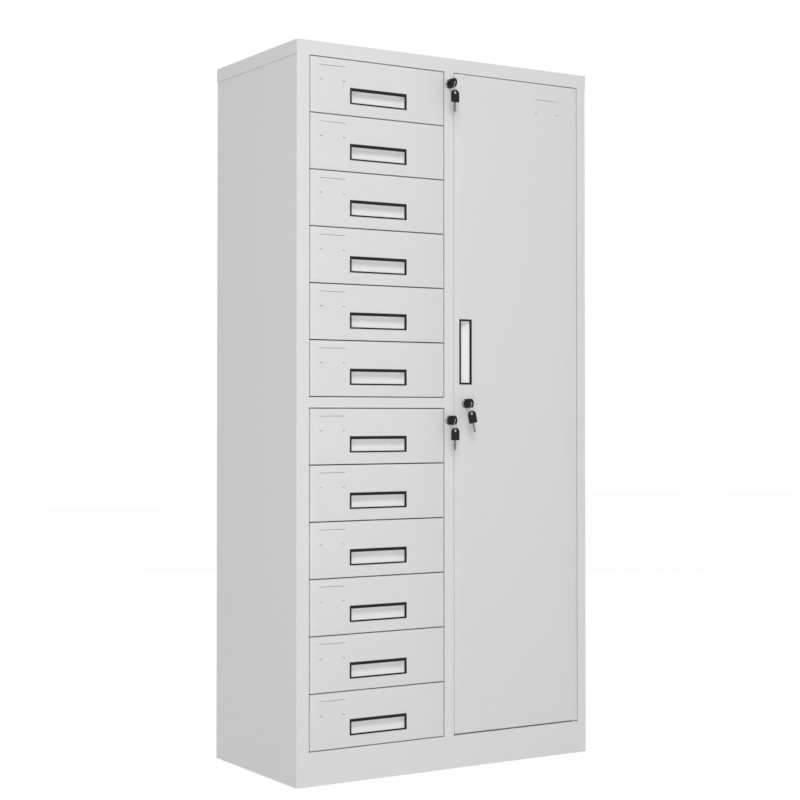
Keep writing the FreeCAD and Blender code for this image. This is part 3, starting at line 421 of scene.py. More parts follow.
def new_material(name):
    """A material with a Principled shader and Object coordinates."""
    material = bpy.data.materials.new(name)
    material.use_nodes = True
    tree = material.node_tree
    tree.nodes.clear()
    shader = tree.nodes.new("ShaderNodeBsdfPrincipled")
    output = tree.nodes.new("ShaderNodeOutputMaterial")
    tree.links.new(shader.outputs[0], output.inputs["Surface"])
    coordinates = tree.nodes.new("ShaderNodeTexCoord")
    MATERIALS[name] = material
    return tree, shader, coordinates.outputs["Object"]


def tinted(tree, colour, tone):
    """Multiply a colour by a tone that changes over the surface."""
    mix = node(tree, "ShaderNodeMix", data_type="RGBA", blend_type="MULTIPLY")
    mix.inputs[MIX_SHARE].default_value = 1.0
    mix.inputs[MIX_COLOURS[0]].default_value = (*colour, 1.0)
    tree.links.new(tone, mix.inputs[MIX_COLOURS[1]])
    return mix.outputs[MIXED_COLOUR]


def bumped(tree, shader, height, strength, distance, rounding=0.0):
    """Bump a surface, and shade its hard edges as if rounded where a radius is given."""
    bump = node(tree, "ShaderNodeBump", strength=strength, distance=distance)
    if rounding:
        edge = node(tree, "ShaderNodeBevel", samples=6, radius=rounding)
        tree.links.new(edge.outputs[0], bump.inputs["Normal"])
    tree.links.new(height, bump.inputs["Height"])
    tree.links.new(bump.outputs[0], shader.inputs["Normal"])


def roughness_range(tree, shader, mask, low, high):
    """Let the roughness follow a mask between two values."""
    spread = node(tree, "ShaderNodeMapRange")
    spread.inputs["To Min"].default_value = low
    spread.inputs["To Max"].default_value = high
    tree.links.new(mask, spread.inputs["Value"])
    tree.links.new(spread.outputs["Result"], shader.inputs["Roughness"])


def powder_coat(name, colour, rounding=0.0):
    """Satin powder coat with orange peel, a slow drift of tone and a little settled dust."""
    tree, shader, place = new_material(name)
    tone = placed_group(tree, "tone_drift", place, Scale=2.2, Amount=0.035)
    dust = placed_group(tree, "settled_dust", place, Amount=0.10)
    peel = placed_group(tree, "orange_peel", place, Scale=finish_settings().peel_scale,
                        Grain=0.35)
    coloured = tinted(tree, colour, tone.outputs["Tone"])
    dusty = node(tree, "ShaderNodeMix", data_type="RGBA")
    dusty.inputs[MIX_COLOURS[1]].default_value = DUST
    tree.links.new(dust.outputs["Mask"], dusty.inputs[MIX_SHARE])
    tree.links.new(coloured, dusty.inputs[MIX_COLOURS[0]])
    tree.links.new(dusty.outputs[MIXED_COLOUR], shader.inputs["Base Color"])
    rough = finish_settings().coat_roughness
    roughness_range(tree, shader, tone.outputs["Mask"], rough - 0.05, rough + 0.07)
    shader.inputs["Specular IOR Level"].default_value = 0.42
    bumped(tree, shader, peel.outputs["Height"], strength=0.12, distance=0.25 * MM,
           rounding=rounding)


def moulded_plastic(name, colour, low, high, strength):
    """Moulded black plastic: a faint tool grain and a slow change of gloss."""
    tree, shader, place = new_material(name)
    tone = placed_group(tree, "tone_drift", place, Scale=60.0, Amount=0.5)
    peel = placed_group(tree, "orange_peel", place, Scale=1500.0, Grain=0.6)
    tree.links.new(tinted(tree, colour, tone.outputs["Tone"]), shader.inputs["Base Color"])
    roughness_range(tree, shader, tone.outputs["Mask"], low, high)
    shader.inputs["Specular IOR Level"].default_value = 0.22
    bumped(tree, shader, peel.outputs["Height"], strength, 0.1 * MM)


def plated_metal(name, colour, low, high, stretch, strength):
    """Plated metal with fine drawn lines and a slow change of polish."""
    tree, shader, place = new_material(name)
    tone = placed_group(tree, "tone_drift", place, Scale=90.0, Amount=0.12)
    lines = placed_group(tree, "brushed_lines", place, Scale=900.0, Stretch=stretch)
    tree.links.new(tinted(tree, colour, tone.outputs["Tone"]), shader.inputs["Base Color"])
    shader.inputs["Metallic"].default_value = 1.0
    roughness_range(tree, shader, tone.outputs["Mask"], low, high)
    bumped(tree, shader, lines.outputs["Height"], strength, 0.05 * MM)


def spangled_zinc(name):
    """Zinc plate with the soft crystal patches of galvanised sheet."""
    tree, shader, place = new_material(name)
    cells = node(tree, "ShaderNodeTexVoronoi", scale=160.0)
    tree.links.new(place, cells.inputs["Vector"])
    value = node(tree, "ShaderNodeRGBToBW")
    tree.links.new(cells.outputs["Color"], value.inputs[0])
    spread = node(tree, "ShaderNodeMapRange")
    spread.inputs["To Min"].default_value = 0.86
    spread.inputs["To Max"].default_value = 1.08
    tree.links.new(value.outputs[0], spread.inputs["Value"])
    tree.links.new(tinted(tree, ZINC, spread.outputs["Result"]),
                   shader.inputs["Base Color"])
    shader.inputs["Metallic"].default_value = 1.0
    roughness_range(tree, shader, value.outputs[0], low=0.3, high=0.48)
    peel = placed_group(tree, "orange_peel", place, Scale=700.0, Grain=0.5)
    bumped(tree, shader, peel.outputs["Height"], strength=0.08, distance=0.1 * MM)


def nylon(name):
    """Milky turned nylon."""
    tree, shader, place = new_material(name)
    tone = placed_group(tree, "tone_drift", place, Scale=120.0, Amount=0.08)
    tree.links.new(tinted(tree, NYLON, tone.outputs["Tone"]), shader.inputs["Base Color"])
    roughness_range(tree, shader, tone.outputs["Mask"], low=0.4, high=0.55)
    shader.inputs["Subsurface Weight"].default_value = 0.1


# Mesh helpers

def finish_piece(name, mesh, finishes, body, sharp=math.radians(35)):
    """Turn a mesh into a smooth-shaded piece that rides on a body."""
    bmesh.ops.recalc_face_normals(mesh, faces=mesh.faces)
    data = bpy.data.meshes.new(name)
    mesh.to_mesh(data)
    mesh.free()
    for finish in finishes:
        data.materials.append(MATERIALS[finish])
    data.polygons.foreach_set("use_smooth", [True] * len(data.polygons))
    data.set_sharp_from_angle(angle=sharp)
    piece = bpy.data.objects.new(name, data)
    bpy.context.scene.collection.objects.link(piece)
    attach(piece, body)
    return piece


def soften(mesh, edges, width, segments):
    """Round edges off."""
    bmesh.ops.bevel(mesh, geom=list(edges), offset=width, offset_type="OFFSET",
                    segments=segments, profile=0.5, affect="EDGES", clamp_overlap=True,
                    material=-1)


def add_block(mesh, low, high, rounding):
    """A block between two corners, its edges softened."""
    low, high = Vector(low), Vector(high)
    size = high - low
    place = Matrix.Translation((low + high) / 2) @ Matrix.Diagonal((*size, 1))
    made = bmesh.ops.create_cube(mesh, size=1.0, matrix=place)
    edges = {edge for vertex in made["verts"] for edge in vertex.link_edges}
    soften(mesh, edges, rounding, 2)


def sheet_with_holes(mesh, columns, rows, holes, y):
    """A flat face in the XZ plane, made of cells between lines, with some cells left open."""
    grid = [[mesh.verts.new((x, y, z)) for x in columns] for z in rows]
    for row in range(len(rows) - 1):
        for column in range(len(columns) - 1):
            if (column, row) not in holes:
                mesh.faces.new((grid[row][column], grid[row][column + 1],
                                grid[row + 1][column + 1], grid[row + 1][column]))


def edges_on(mesh, test):
    """The edges whose both ends pass a test of their place."""
    return [edge for edge in mesh.edges
            if all(test(vertex.co) for vertex in edge.verts)]


def drawn_out(mesh, edges, way):
    """Extrude edges along a way and give the new edges."""
    made = bmesh.ops.extrude_edge_only(mesh, edges=edges)["geom"]
    vertices = [item for item in made if isinstance(item, bmesh.types.BMVert)]
    bmesh.ops.translate(mesh, verts=vertices, vec=way)
    return [item for item in made if isinstance(item, bmesh.types.BMEdge)
            and all(vertex in vertices for vertex in item.verts)]


def merged_in(mesh, other):
    """Add a finished mesh to another and free it."""
    data = bpy.data.meshes.new("work")
    other.to_mesh(data)
    other.free()
    mesh.from_mesh(data)
    bpy.data.meshes.remove(data)


def add_scoop(mesh, place, span, height):
    """A finger recess: its curved floor spun up from a shallow lip to a deep crown.

    It is made with its length along X, its height along Y and its depth along Z, then placed.
    """
    form = sizes()
    scoop = bmesh.new()
    first = [scoop.verts.new((0, 0, 0)), scoop.verts.new((span, 0, 0))]
    edge = drawn_out(scoop, [scoop.edges.new(first)], (0, 0, form.lip))
    start = Vector((form.lip, 0))
    end = Vector((form.scoop, height - form.scoop_crown))
    chord = end - start
    half = chord.length / 2
    rise = math.sqrt(form.scoop_radius ** 2 - half ** 2)
    across = Vector((-chord.y, chord.x)).normalized()
    centre = (start + end) / 2 + across * rise
    turned = bmesh.ops.spin(
        scoop, geom=edge + [vertex for item in edge for vertex in item.verts],
        cent=(0, centre.y, centre.x), axis=(-1, 0, 0),
        angle=2 * math.asin(half / form.scoop_radius), steps=SCOOP_STEPS, use_merge=False,
        use_duplicate=False)["geom_last"]
    edge = [item for item in turned if isinstance(item, bmesh.types.BMEdge)]
    edge = drawn_out(scoop, edge, (0, form.scoop_crown, 0))
    drawn_out(scoop, edge, (0, 0, -form.scoop))
    bmesh.ops.remove_doubles(scoop, verts=scoop.verts, dist=WELD)
    for side in (0, span):
        rim = edges_on(scoop, lambda spot: abs(spot.x - side) < WELD)
        ends = [vertex for vertex in {vertex for item in rim for vertex in item.verts}
                if abs(vertex.co.z) < WELD]
        rim.append(scoop.edges.new(ends))
        bmesh.ops.edgenet_fill(scoop, edges=rim)
    # The recess gets the lighter copy of the coat, which paints the light falling on its floor
    for face in scoop.faces:
        face.material_index = RECESS_PAINTED_LIGHT
    bmesh.ops.transform(scoop, matrix=place, verts=scoop.verts)
    merged_in(mesh, scoop)


def add_loops(mesh, loops):
    """Draw a rectangle out through a series of others, each (left, right, low, top, y)."""
    loops = [*loops, loops[0]]
    left, right, low, top, y = loops[0]
    middle = Vector((left + right, 0, low + top)) / 2
    corners = [mesh.verts.new(spot) for spot in
               ((left, y, low), (right, y, low), (right, y, top), (left, y, top))]
    edges = [mesh.edges.new(pair) for pair in zip(corners, corners[1:] + corners[:1])]
    for left, right, low, top, y in loops[1:]:
        edges = drawn_out(mesh, edges, (0, 0, 0))
        for vertex in {vertex for edge in edges for vertex in edge.verts}:
            vertex.co = (left if vertex.co.x < middle.x else right, y,
                         low if vertex.co.z < middle.z else top)
    bmesh.ops.remove_doubles(mesh, verts=mesh.verts, dist=WELD)


def spun_profile(mesh, points, centre, axis, steps):
    """Turn a line of (radius, along) points about an axis."""
    centre, axis = Vector(centre), Vector(axis)
    out = axis.orthogonal().normalized()
    line = [mesh.verts.new(centre + out * radius + axis * along) for radius, along in points]
    edges = [mesh.edges.new(pair) for pair in zip(line, line[1:])]
    bmesh.ops.spin(mesh, geom=line + edges, cent=centre, axis=axis, angle=math.tau, steps=steps,
                   use_merge=True, use_duplicate=False)
    bmesh.ops.remove_doubles(mesh, verts=mesh.verts, dist=WELD)


# Drawer fronts and door

def pressed_front(mesh, outline, recess, slit, depth, deep_left=False):
    """The shell of a folded front: face, folded edges, finger recess and card slit."""
    left, right, low, top = outline
    recess_left, recess_right, recess_low, recess_top = recess
    tab_z = (slit[2] + slit[3]) / 2 - sizes().tab_drop
    half, tall = sizes().tab_length / 2, sizes().tab_height / 2
    tabs = [(middle - half, middle + half, tab_z - tall, tab_z + tall)
            for middle in (slit[0] + sizes().tab_inset, slit[1] - sizes().tab_inset)]
    openings = [recess, slit, *tabs]
    columns = sorted({left, right, *(side for hole in openings for side in hole[:2])})
    rows = sorted({low, top, *(side for hole in openings for side in hole[2:])})
    holes = set()
    for hole in openings:
        for column in range(columns.index(hole[0]), columns.index(hole[1])):
            for row in range(rows.index(hole[2]), rows.index(hole[3])):
                holes.add((column, row))
    sheet_with_holes(mesh, columns, rows, holes, FRONT_Y)
    inside = (lambda spot: left + WELD < spot.x < right - WELD
              and low + WELD < spot.z < top - WELD)
    rim = [edge for edge in mesh.edges if edge.is_boundary
           and not any(inside(vertex.co) for vertex in edge.verts)]
    drawn_out(mesh, rim, (0, depth, 0))
    folds = [edge for edge in mesh.edges if not edge.is_boundary
             and all(abs(vertex.co.y - FRONT_Y) < WELD for vertex in edge.verts)
             and not any(inside(vertex.co) for vertex in edge.verts)]
    corners = [edge for edge in mesh.edges if not edge.is_boundary
               and abs(edge.verts[0].co.y - edge.verts[1].co.y) > depth / 2
               and edge.calc_face_angle(0) > HARD_EDGE]
    soften(mesh, folds + corners, sizes().fold, FOLD_SEGMENTS)
    if deep_left:
        place = Matrix(((0, -1, 0, recess_right), (0, 0, 1, FRONT_Y), (1, 0, 0, recess_low),
                        (0, 0, 0, 1)))
        add_scoop(mesh, place, recess_top - recess_low, recess_right - recess_left)
    else:
        place = Matrix(((1, 0, 0, recess_left), (0, 0, 1, FRONT_Y), (0, 1, 0, recess_low),
                        (0, 0, 0, 1)))
        add_scoop(mesh, place, recess_right - recess_left, recess_top - recess_low)
    bmesh.ops.remove_doubles(mesh, verts=mesh.verts, dist=WELD)
    bmesh.ops.recalc_face_normals(mesh, faces=mesh.faces)
    face = next(item for item in mesh.faces
                if abs(item.calc_center_median().y - FRONT_Y) < WELD)
    if face.normal.y > 0:
        bmesh.ops.reverse_faces(mesh, faces=mesh.faces)
    bmesh.ops.solidify(mesh, geom=mesh.faces[:], thickness=sizes().sheet)
    for tab_left, tab_right, tab_low, tab_top in tabs:
        add_block(mesh, (tab_left, FRONT_Y - sizes().tab_proud, (tab_low + tab_top) / 2),
                  (tab_right, FRONT_Y + sizes().sheet / 2, tab_top + sizes().sheet / 2),
                  sizes().tab_proud * TAB_ROUNDING)


def inner_copy(source, behind):
    """A copy of the solids of a CAD node that reach behind a plane, without the front."""
    mesh = bmesh.new()
    mesh.from_mesh(frame["nodes"][source].data)
    bmesh.ops.remove_doubles(mesh, verts=mesh.verts, dist=WELD)
    seen = set()
    for vertex in list(mesh.verts):
        if vertex in seen:
            continue
        group, waiting = {vertex}, [vertex]
        while waiting:
            for edge in waiting.pop().link_edges:
                for other in edge.verts:
                    if other not in group:
                        group.add(other)
                        waiting.append(other)
        seen |= group
        if max(item.co.y for item in group) < behind:
            bmesh.ops.delete(mesh, geom=list(group), context="VERTS")
    return mesh


def drawer_outline(name):
    """The face of a drawer's front, from the middle of its pull and the sides of its solid."""
    form = sizes()
    pull_low, pull_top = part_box("drawer_pull_" + name[-2:])
    middle = (pull_low.z + pull_top.z) / 2
    low = middle - form.pull_rise
    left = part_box(name)[0].x + form.front_room
    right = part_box(name)[1].x - form.front_room
    return left, right, low, low + form.front_height


def recess_in(pull, bars):
    """The recess behind a pull's frame: its opening grown by the frame's sleeve."""
    low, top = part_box(pull)
    left_bar, right_bar, low_bar, top_bar = bars
    grow = sizes().sleeve + sizes().sleeve_fit
    return (low.x + left_bar - grow, top.x - right_bar + grow,
            low.z + low_bar - grow, top.z - top_bar + grow)


def drawer_bars():
    form = sizes()
    return form.side_bar, form.side_bar, form.low_bar, form.top_bar


def door_bars():
    return (sizes().door_bar,) * 4


def build_drawers():
    form = sizes()
    for name in DRAWER_NAMES:
        left, right, low, top = drawer_outline(name)
        slit_z = top - form.slit_drop
        slit = (left + form.slit_inset, left + form.slit_inset + form.slit_length,
                slit_z - form.slit_height / 2, slit_z + form.slit_height / 2)
        mesh = bmesh.new()
        pressed_front(mesh, (left, right, low, top), recess_in("drawer_pull_" + name[-2:],
                      drawer_bars()), slit, form.front_depth)
        front = finish_piece(name + "_front", mesh, PRESSED_COAT_AND_PAINTED_LIGHT, name)
        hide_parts(name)
        tray = inner_copy(name, FRONT_Y + form.front_depth + form.sheet)
        inner = finish_piece(name + "_tray", tray, ["front_powder_coat"], name)
        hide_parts(name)


def build_door():
    form = sizes()
    low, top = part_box("door_panel")
    slit_z = top.z - form.door_slit_drop
    slit_right = top.x - form.door_slit_inset
    slit = (slit_right - form.door_slit_length, slit_right,
            slit_z - form.slit_height / 2, slit_z + form.slit_height / 2)
    mesh = bmesh.new()
    pressed_front(mesh, (low.x, top.x, low.z + form.door_foot, top.z),
                  recess_in("door_pull", door_bars()), slit, form.door_depth, deep_left=True)
    leaf = finish_piece("door_leaf", mesh, PRESSED_COAT_AND_PAINTED_LIGHT, "door")
    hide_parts("door_panel")


def pull_frame(name, body, source, bars):
    """The glossy moulded frame round a recess, with the sleeve that lines its mouth."""
    form = sizes()
    low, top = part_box(source)
    left_bar, right_bar, low_bar, top_bar = bars
    outer = (low.x, top.x, low.z, top.z)
    opening = (low.x + left_bar, top.x - right_bar, low.z + low_bar, top.z - top_bar)
    sleeve = (opening[0] - form.sleeve, opening[1] + form.sleeve,
              opening[2] - form.sleeve, opening[3] + form.sleeve)
    mesh = bmesh.new()
    add_loops(mesh, [(*outer, FRONT_Y), (*outer, low.y), (*opening, low.y), (*opening, top.y),
                     (*sleeve, top.y), (*sleeve, FRONT_Y)])
    bmesh.ops.recalc_face_normals(mesh, faces=mesh.faces)
    rims = edges_on(mesh, lambda spot: abs(spot.y - low.y) < WELD)
    soften(mesh, [edge for edge in rims if edge.calc_face_angle(0) > HARD_EDGE],
           form.frame_round, ROUND_SEGMENTS)
    piece = finish_piece(name, mesh, ["black_gloss_plastic"], body,
                         math.radians(50))
    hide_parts(source)


def build_pulls():
    for name in DRAWER_NAMES:
        number = name[-2:]
        pull_frame("pull_frame_" + number, name, "drawer_pull_" + number, drawer_bars())
    pull_frame("pull_frame_door", "door", "door_pull", door_bars())


# Locks and keys

def lock_collar(name, body, node_name, places):
    """A turned barrel with the rounded collar that shows on the face."""
    form = sizes()
    mesh = bmesh.new()
    collar, proud = form.collar / 2, form.collar_proud
    bore, barrel, edge = form.plug / 2, form.barrel / 2, form.collar_edge
    flat = collar * form.collar_flat
    dome = [(flat + (collar - flat) * math.sin(turn), -edge - (proud - edge) * math.cos(turn))
            for turn in (math.pi / 2 * step / DOME_STEPS for step in range(DOME_STEPS + 1))]
    profile = [(bore, form.barrel_length), (bore, -proud), *dome, (collar, 0), (barrel, 0),
               (barrel, form.barrel_length), (bore, form.barrel_length)]
    for x, z in places:
        spun_profile(mesh, profile, (x, FRONT_Y, z), (0, 1, 0), RING_STEPS)
    piece = finish_piece(name, mesh, ["chromed_lock"], body)
    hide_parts(node_name)


def middle_of(name):
    low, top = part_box(name)
    return (low + top) / 2


def build_locks():
    stile = [(middle_of(name).x, middle_of(name).z) for name in ("upper_key", "lower_key")]
    lock_collar("stile_collars", "cabinet", "stile_lock_barrels", stile)
    door = middle_of("door_key")
    lock_collar("door_collar", "door", "door_lock_barrel", [(door.x, door.z)])


def key_bow(mesh):
    """The moulded bow about its eye: a rounded plate with a sunk face, in the YZ plane."""
    form = sizes()
    tail, shoulder = -form.eye_edge, form.bow_length - form.eye_edge
    half, thick = form.bow_width / 2, form.bow_thick / 2
    corners = [mesh.verts.new((0, y, z)) for y, z in
               ((tail, -half), (shoulder, -half), (shoulder, half), (tail, half))]
    mesh.faces.new(corners)
    for spot, radius in ((tail, form.bow_radius), (shoulder, form.bow_shoulder)):
        ends = [vertex for vertex in mesh.verts if abs(vertex.co.y - spot) < WELD
                and abs(abs(vertex.co.z) - half) < WELD]
        bmesh.ops.bevel(mesh, geom=ends, offset=radius, offset_type="OFFSET",
                        segments=BOW_SEGMENTS, profile=0.5, affect="VERTICES", material=-1)
    bmesh.ops.delete(mesh, geom=mesh.faces[:], context="FACES_ONLY")
    turn = Matrix.Rotation(math.pi / 2, 4, "Y")
    bmesh.ops.create_circle(mesh, cap_ends=False, radius=form.eye / 2, segments=EYE_SIDES,
                            matrix=turn)
    bmesh.ops.triangle_fill(mesh, use_beauty=True, use_dissolve=False, edges=mesh.edges[:])
    bmesh.ops.translate(mesh, verts=mesh.verts, vec=(-thick, 0, 0))
    made = bmesh.ops.extrude_face_region(mesh, geom=mesh.faces[:])["geom"]
    front = [item for item in made if isinstance(item, bmesh.types.BMVert)]
    bmesh.ops.translate(mesh, verts=front, vec=(2 * thick, 0, 0))
    bmesh.ops.recalc_face_normals(mesh, faces=mesh.faces)
    rims = [edge for edge in mesh.edges if edge.calc_face_angle(0) > HARD_EDGE]
    soften(mesh, rims, form.bow_round, 3)
    for side in (-1, 1):
        faces = [face for face in mesh.faces
                 if abs(face.calc_center_median().x - side * thick) < WELD]
        bmesh.ops.inset_region(mesh, faces=faces, thickness=form.bow_rim, depth=0,
                               use_even_offset=True, use_boundary=True)
        bmesh.ops.inset_region(mesh, faces=faces, thickness=form.bow_rim * RIM_SLOPE,
                               depth=-form.bow_sink, use_even_offset=True, use_boundary=True)


def key_blade(mesh):
    """The milled blade with its cuts along one edge."""
    form = sizes()
    start = form.bow_length - form.eye_edge - form.bow_round
    end = start + form.blade_length
    half, thick = form.blade_width / 2, form.blade_thick / 2
    slim = half - form.blade_taper
    corners = [mesh.verts.new((0, y, z)) for y, z in
               ((start, -half), (end, -slim), (end, slim), (start, half))]
    mesh.faces.new(corners)
    lower = edges_on(mesh, lambda spot: spot.z < 0)
    cuts = bmesh.ops.subdivide_edges(mesh, edges=lower, cuts=2 * len(KEY_CUTS) + 1)
    notches = sorted((item for item in cuts["geom_inner"] if isinstance(item, bmesh.types.BMVert)),
                     key=lambda item: item.co.y)
    for index, depth in enumerate(KEY_CUTS):
        notches[2 * index + 1].co.z += depth * form.blade_width
    tip = [vertex for vertex in mesh.verts if abs(vertex.co.y - end) < WELD]
    bmesh.ops.bevel(mesh, geom=tip, offset=slim * TIP_ROUNDING, offset_type="OFFSET",
                    segments=2, profile=0.5, affect="VERTICES", material=-1)
    bmesh.ops.translate(mesh, verts=mesh.verts, vec=(-thick, 0, 0))
    made = bmesh.ops.extrude_face_region(mesh, geom=mesh.faces[:])["geom"]
    front = [item for item in made if isinstance(item, bmesh.types.BMVert)]
    bmesh.ops.translate(mesh, verts=front, vec=(2 * thick, 0, 0))
    bmesh.ops.recalc_face_normals(mesh, faces=mesh.faces)
    soften(mesh, [edge for edge in mesh.edges if edge.calc_face_angle(0) > KEY_EDGE],
           form.blade_round, 1)


def build_keys():
    form = sizes()
    for name in ("upper", "lower", "door"):
        eye = middle_of(name + "_key")
        eye.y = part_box(name + "_key")[0].y + form.eye_edge
        drop = 2 * form.ring_drop + form.ring
        tilt = form.door_tilt if name == "door" else 0
        lean = Matrix.Rotation(-tilt, 4, "Y")
        hanging = (Matrix.Translation(eye - Vector((0, 0, drop))) @ lean
                   @ Matrix.Rotation(math.pi / 2, 4, "Z") @ Matrix.Rotation(-math.pi / 2, 4, "X"))
        for kind, body, node_name, place in (
                ("key", name + "_lock", name + "_key", Matrix.Translation(eye)),
                ("spare", name + "_spare", name + "_spare_key", hanging)):
            for part, make, material in (("bow", key_bow, "black_key_plastic"),
                                         ("blade", key_blade, "key_steel")):
                mesh = bmesh.new()
                make(mesh)
                bmesh.ops.transform(mesh, matrix=place, verts=mesh.verts)
                piece = finish_piece("%s_%s_%s" % (name, kind, part), mesh, [material], body)
                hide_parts(node_name)
        mesh = bmesh.new()
        centre = Vector((form.ring / 2, 0, 0))
        turn = Matrix.Translation(centre) @ Matrix.Rotation(math.pi / 2, 4, "X")
        bmesh.ops.create_circle(mesh, cap_ends=False, radius=form.ring_wire / 2,
                                segments=WIRE_SIDES, matrix=turn)
        bmesh.ops.spin(mesh, geom=mesh.verts[:] + mesh.edges[:], cent=(0, 0, 0), axis=(0, 0, 1),
                       angle=math.tau, steps=RING_STEPS, use_merge=True, use_duplicate=False)
        bmesh.ops.remove_doubles(mesh, verts=mesh.verts, dist=WELD)
        low = eye - Vector((0, 0, form.ring_drop + form.ring / 2))
        place = Matrix.Translation(low) @ Matrix.Rotation(math.pi / 2, 4, Vector((1, 1, 0)))
        bmesh.ops.transform(mesh, matrix=place, verts=mesh.verts)
        ring = finish_piece(name + "_ring_wire", mesh, ["spring_steel_wire"], name + "_ring",
                            math.radians(80))
        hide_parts(name + "_key_ring")


# Finishes, and the solids that keep their own shape

def build_materials():
    form = finish_settings()
    for name, maker in (("orange_peel", orange_peel_group), ("tone_drift", tone_drift_group),
                        ("settled_dust", dust_group), ("brushed_lines", brushed_group)):
        GROUPS[name] = maker()
    powder_coat("casing_powder_coat", form.coat, sizes().edge_shade)
    powder_coat("front_powder_coat", form.front_coat)
    # The recess's lighter copy of the front coat: painted light for the light its floor catches
    powder_coat("recess_coat", form.recess_coat)
    moulded_plastic("black_gloss_plastic", form.black, low=0.16, high=0.28, strength=0.05)
    moulded_plastic("black_key_plastic", KEY_BLACK, low=0.3, high=0.42, strength=0.25)
    for name, colour, low, high, stretch, strength in (
            ("chromed_lock", LOCK_CHROME, 0.18, 0.32, (1.0, 1.0, 0.04), 0.1),
            ("key_steel", KEY_STEEL, 0.24, 0.4, (0.05, 0.05, 1.0), 0.15),
            ("spring_steel_wire", RING_STEEL, 0.18, 0.3, (1.0, 1.0, 1.0), 0.05)):
        plated_metal(name, colour, low, high, stretch, strength)
    spangled_zinc("zinc_plated_steel")
    nylon("white_nylon")


def dress_solids():
    """Give each solid that stays visible the finish of its material slot."""
    for row in frame["record"]["subparts"]:
        solid = frame["nodes"][row["node"]]
        material = MATERIALS[row["material_slot"]]
        solid.data.materials.clear()
        solid.data.materials.append(material)


# Studio

def seen_rays(tree):
    """One for a ray that shows the surroundings: straight, mirrored or through glass."""
    paths = tree.nodes.new("ShaderNodeLightPath")
    seen = paths.outputs["Is Camera Ray"]
    for other in ("Is Glossy Ray", "Is Transmission Ray"):
        either = node(tree, "ShaderNodeMath", operation="MAXIMUM")
        tree.links.new(seen, either.inputs[0])
        tree.links.new(paths.outputs[other], either.inputs[1])
        seen = either.outputs[0]
    return seen


def build_studio():
    form = studio_settings()
    scene = bpy.context.scene
    camera_data = bpy.data.cameras.new("view")
    camera_data.lens = form.lens
    camera_data.shift_y = form.shift
    camera_data.clip_end = 100
    camera = bpy.data.objects.new("view", camera_data)
    scene.collection.objects.link(camera)
    camera.rotation_euler = (math.pi / 2 + form.pitch, 0, -form.yaw)
    camera.location = Vector(form.stand) + Vector((Vector(CAD_BOX[0]).x, FRONT_Y, 0))
    scene.camera = camera

    floor = bmesh.new()
    bmesh.ops.create_grid(floor, x_segments=1, y_segments=1, size=FLOOR_REACH)
    data = bpy.data.meshes.new("floor")
    floor.to_mesh(data)
    floor.free()
    ground = bpy.data.objects.new("floor", data)
    scene.collection.objects.link(ground)
    data.materials.append(floor_material())

    for name, place, aim, size, power in LIGHTS:
        lamp = bpy.data.lights.new(name, "AREA")
        lamp.shape = "RECTANGLE"
        lamp.size, lamp.size_y = size
        lamp.energy = getattr(form, power)
        holder = bpy.data.objects.new(name, lamp)
        holder.location = place
        holder.rotation_euler = (Vector(aim) - Vector(place)).to_track_quat("-Z", "Y").to_euler()
        scene.collection.objects.link(holder)

    world = bpy.data.worlds.new("studio")
    scene.world = world
    world.use_nodes = True
    tree = world.node_tree
    tree.nodes.clear()
    output = tree.nodes.new("ShaderNodeOutputWorld")
    sky = node(tree, "ShaderNodeBackground")
    sky.inputs["Color"].default_value = WHITE
    level = node(tree, "ShaderNodeMapRange")
    level.inputs["To Min"].default_value = form.ambient
    level.inputs["To Max"].default_value = 1.0
    tree.links.new(seen_rays(tree), level.inputs["Value"])
    tree.links.new(level.outputs["Result"], sky.inputs["Strength"])
    tree.links.new(sky.outputs[0], output.inputs["Surface"])

    scene.view_settings.view_transform = "Standard"


def floor_material():
    """A pale floor that lights as a pale surface does and reads as near white."""
    tree, shader, place = new_material("studio_floor")
    tone = placed_group(tree, "tone_drift", place, Scale=1.2, Amount=0.01)
    tree.links.new(tinted(tree, FLOOR_GREY, tone.outputs["Tone"]),
                   shader.inputs["Base Color"])
    shader.inputs["Roughness"].default_value = 0.9
    share = node(tree, "ShaderNodeMath", operation="MULTIPLY")
    share.inputs[1].default_value = studio_settings().floor_white
    glow = node(tree, "ShaderNodeEmission", color=WHITE, strength=1.0)
    mix = tree.nodes.new("ShaderNodeMixShader")
    tree.links.new(seen_rays(tree), share.inputs[0])
    tree.links.new(share.outputs[0], mix.inputs[0])
    tree.links.new(shader.outputs[0], mix.inputs[1])
    tree.links.new(glow.outputs[0], mix.inputs[2])
    output = next(item for item in tree.nodes if item.type == "OUTPUT_MATERIAL")
    tree.links.new(mix.outputs[0], output.inputs["Surface"])
    return MATERIALS["studio_floor"]


# Operators and panel

class CABINET_OT_materials(bpy.types.Operator):
    """Make the finishes: powder coat, mouldings, plated metal and nylon"""
    bl_idname = "cabinet.materials"
    bl_label = "Finishes"

    def execute(self, context):
        build_materials()
        return {"FINISHED"}


class CABINET_OT_solids(bpy.types.Operator):
    """Give each solid of the casing and its fittings its finish"""
    bl_idname = "cabinet.solids"
    bl_label = "Casing and Fittings"

    def execute(self, context):
        dress_solids()
        return {"FINISHED"}


class CABINET_OT_drawers(bpy.types.Operator):
    """Make the drawers: pressed fronts with their recesses, and the trays behind"""
    bl_idname = "cabinet.drawers"
    bl_label = "Drawers"

    def execute(self, context):
        build_drawers()
        return {"FINISHED"}


class CABINET_OT_door(bpy.types.Operator):
    """Make the door's pressed leaf with its upright recess"""
    bl_idname = "cabinet.door"
    bl_label = "Door"

    def execute(self, context):
        build_door()
        return {"FINISHED"}


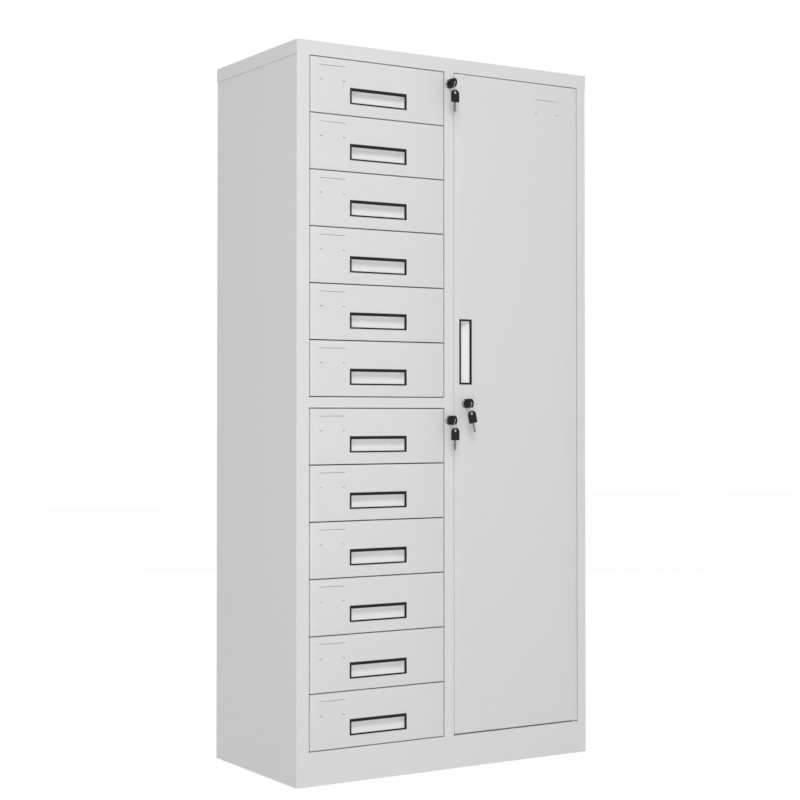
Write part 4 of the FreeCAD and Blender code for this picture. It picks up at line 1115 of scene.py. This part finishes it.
class CABINET_OT_pulls(bpy.types.Operator):
    """Make the glossy frames round the finger recesses"""
    bl_idname = "cabinet.pulls"
    bl_label = "Pull Frames"

    def execute(self, context):
        build_pulls()
        return {"FINISHED"}


class CABINET_OT_locks(bpy.types.Operator):
    """Make the turned lock barrels and collars"""
    bl_idname = "cabinet.locks"
    bl_label = "Locks"

    def execute(self, context):
        build_locks()
        return {"FINISHED"}


class CABINET_OT_keys(bpy.types.Operator):
    """Make the keys, the hanging spare keys and their wire rings"""
    bl_idname = "cabinet.keys"
    bl_label = "Keys"

    def execute(self, context):
        build_keys()
        return {"FINISHED"}


class CABINET_OT_studio(bpy.types.Operator):
    """Set up the camera, the lights, the floor and the white surroundings"""
    bl_idname = "cabinet.studio"
    bl_label = "Studio"

    def execute(self, context):
        build_studio()
        return {"FINISHED"}


OPERATORS = (CABINET_OT_materials, CABINET_OT_solids, CABINET_OT_drawers, CABINET_OT_door,
             CABINET_OT_pulls, CABINET_OT_locks, CABINET_OT_keys, CABINET_OT_studio)
SETTINGS = {"cabinet_finish": CabinetFinish, "cabinet_sizes": CabinetSizes,
            "cabinet_studio": CabinetStudio}


class CABINET_PT_looks(bpy.types.Panel):
    """Lists the cabinet's pieces and settings"""
    bl_label = "File Cabinet"
    bl_idname = "CABINET_PT_looks"
    bl_space_type = "VIEW_3D"
    bl_region_type = "UI"
    bl_category = "Cabinet"

    def draw(self, context):
        for operator in OPERATORS:
            self.layout.operator(operator.bl_idname)
        for name, group in SETTINGS.items():
            box = self.layout.box()
            for setting in group.__annotations__:
                box.prop(getattr(context.scene, name), setting)


CLASSES = (*SETTINGS.values(), *OPERATORS, CABINET_PT_looks)


def register():
    for item in CLASSES:
        bpy.utils.register_class(item)
    for name, group in SETTINGS.items():
        setattr(bpy.types.Scene, name, bpy.props.PointerProperty(type=group))


def unregister():
    for name in SETTINGS:
        delattr(bpy.types.Scene, name)
    for item in reversed(CLASSES):
        bpy.utils.unregister_class(item)


def main():
    register()
    for operator in OPERATORS:
        getattr(bpy.ops.cabinet, operator.bl_idname.split(".")[1])()


if __name__ == "__main__":
    main()
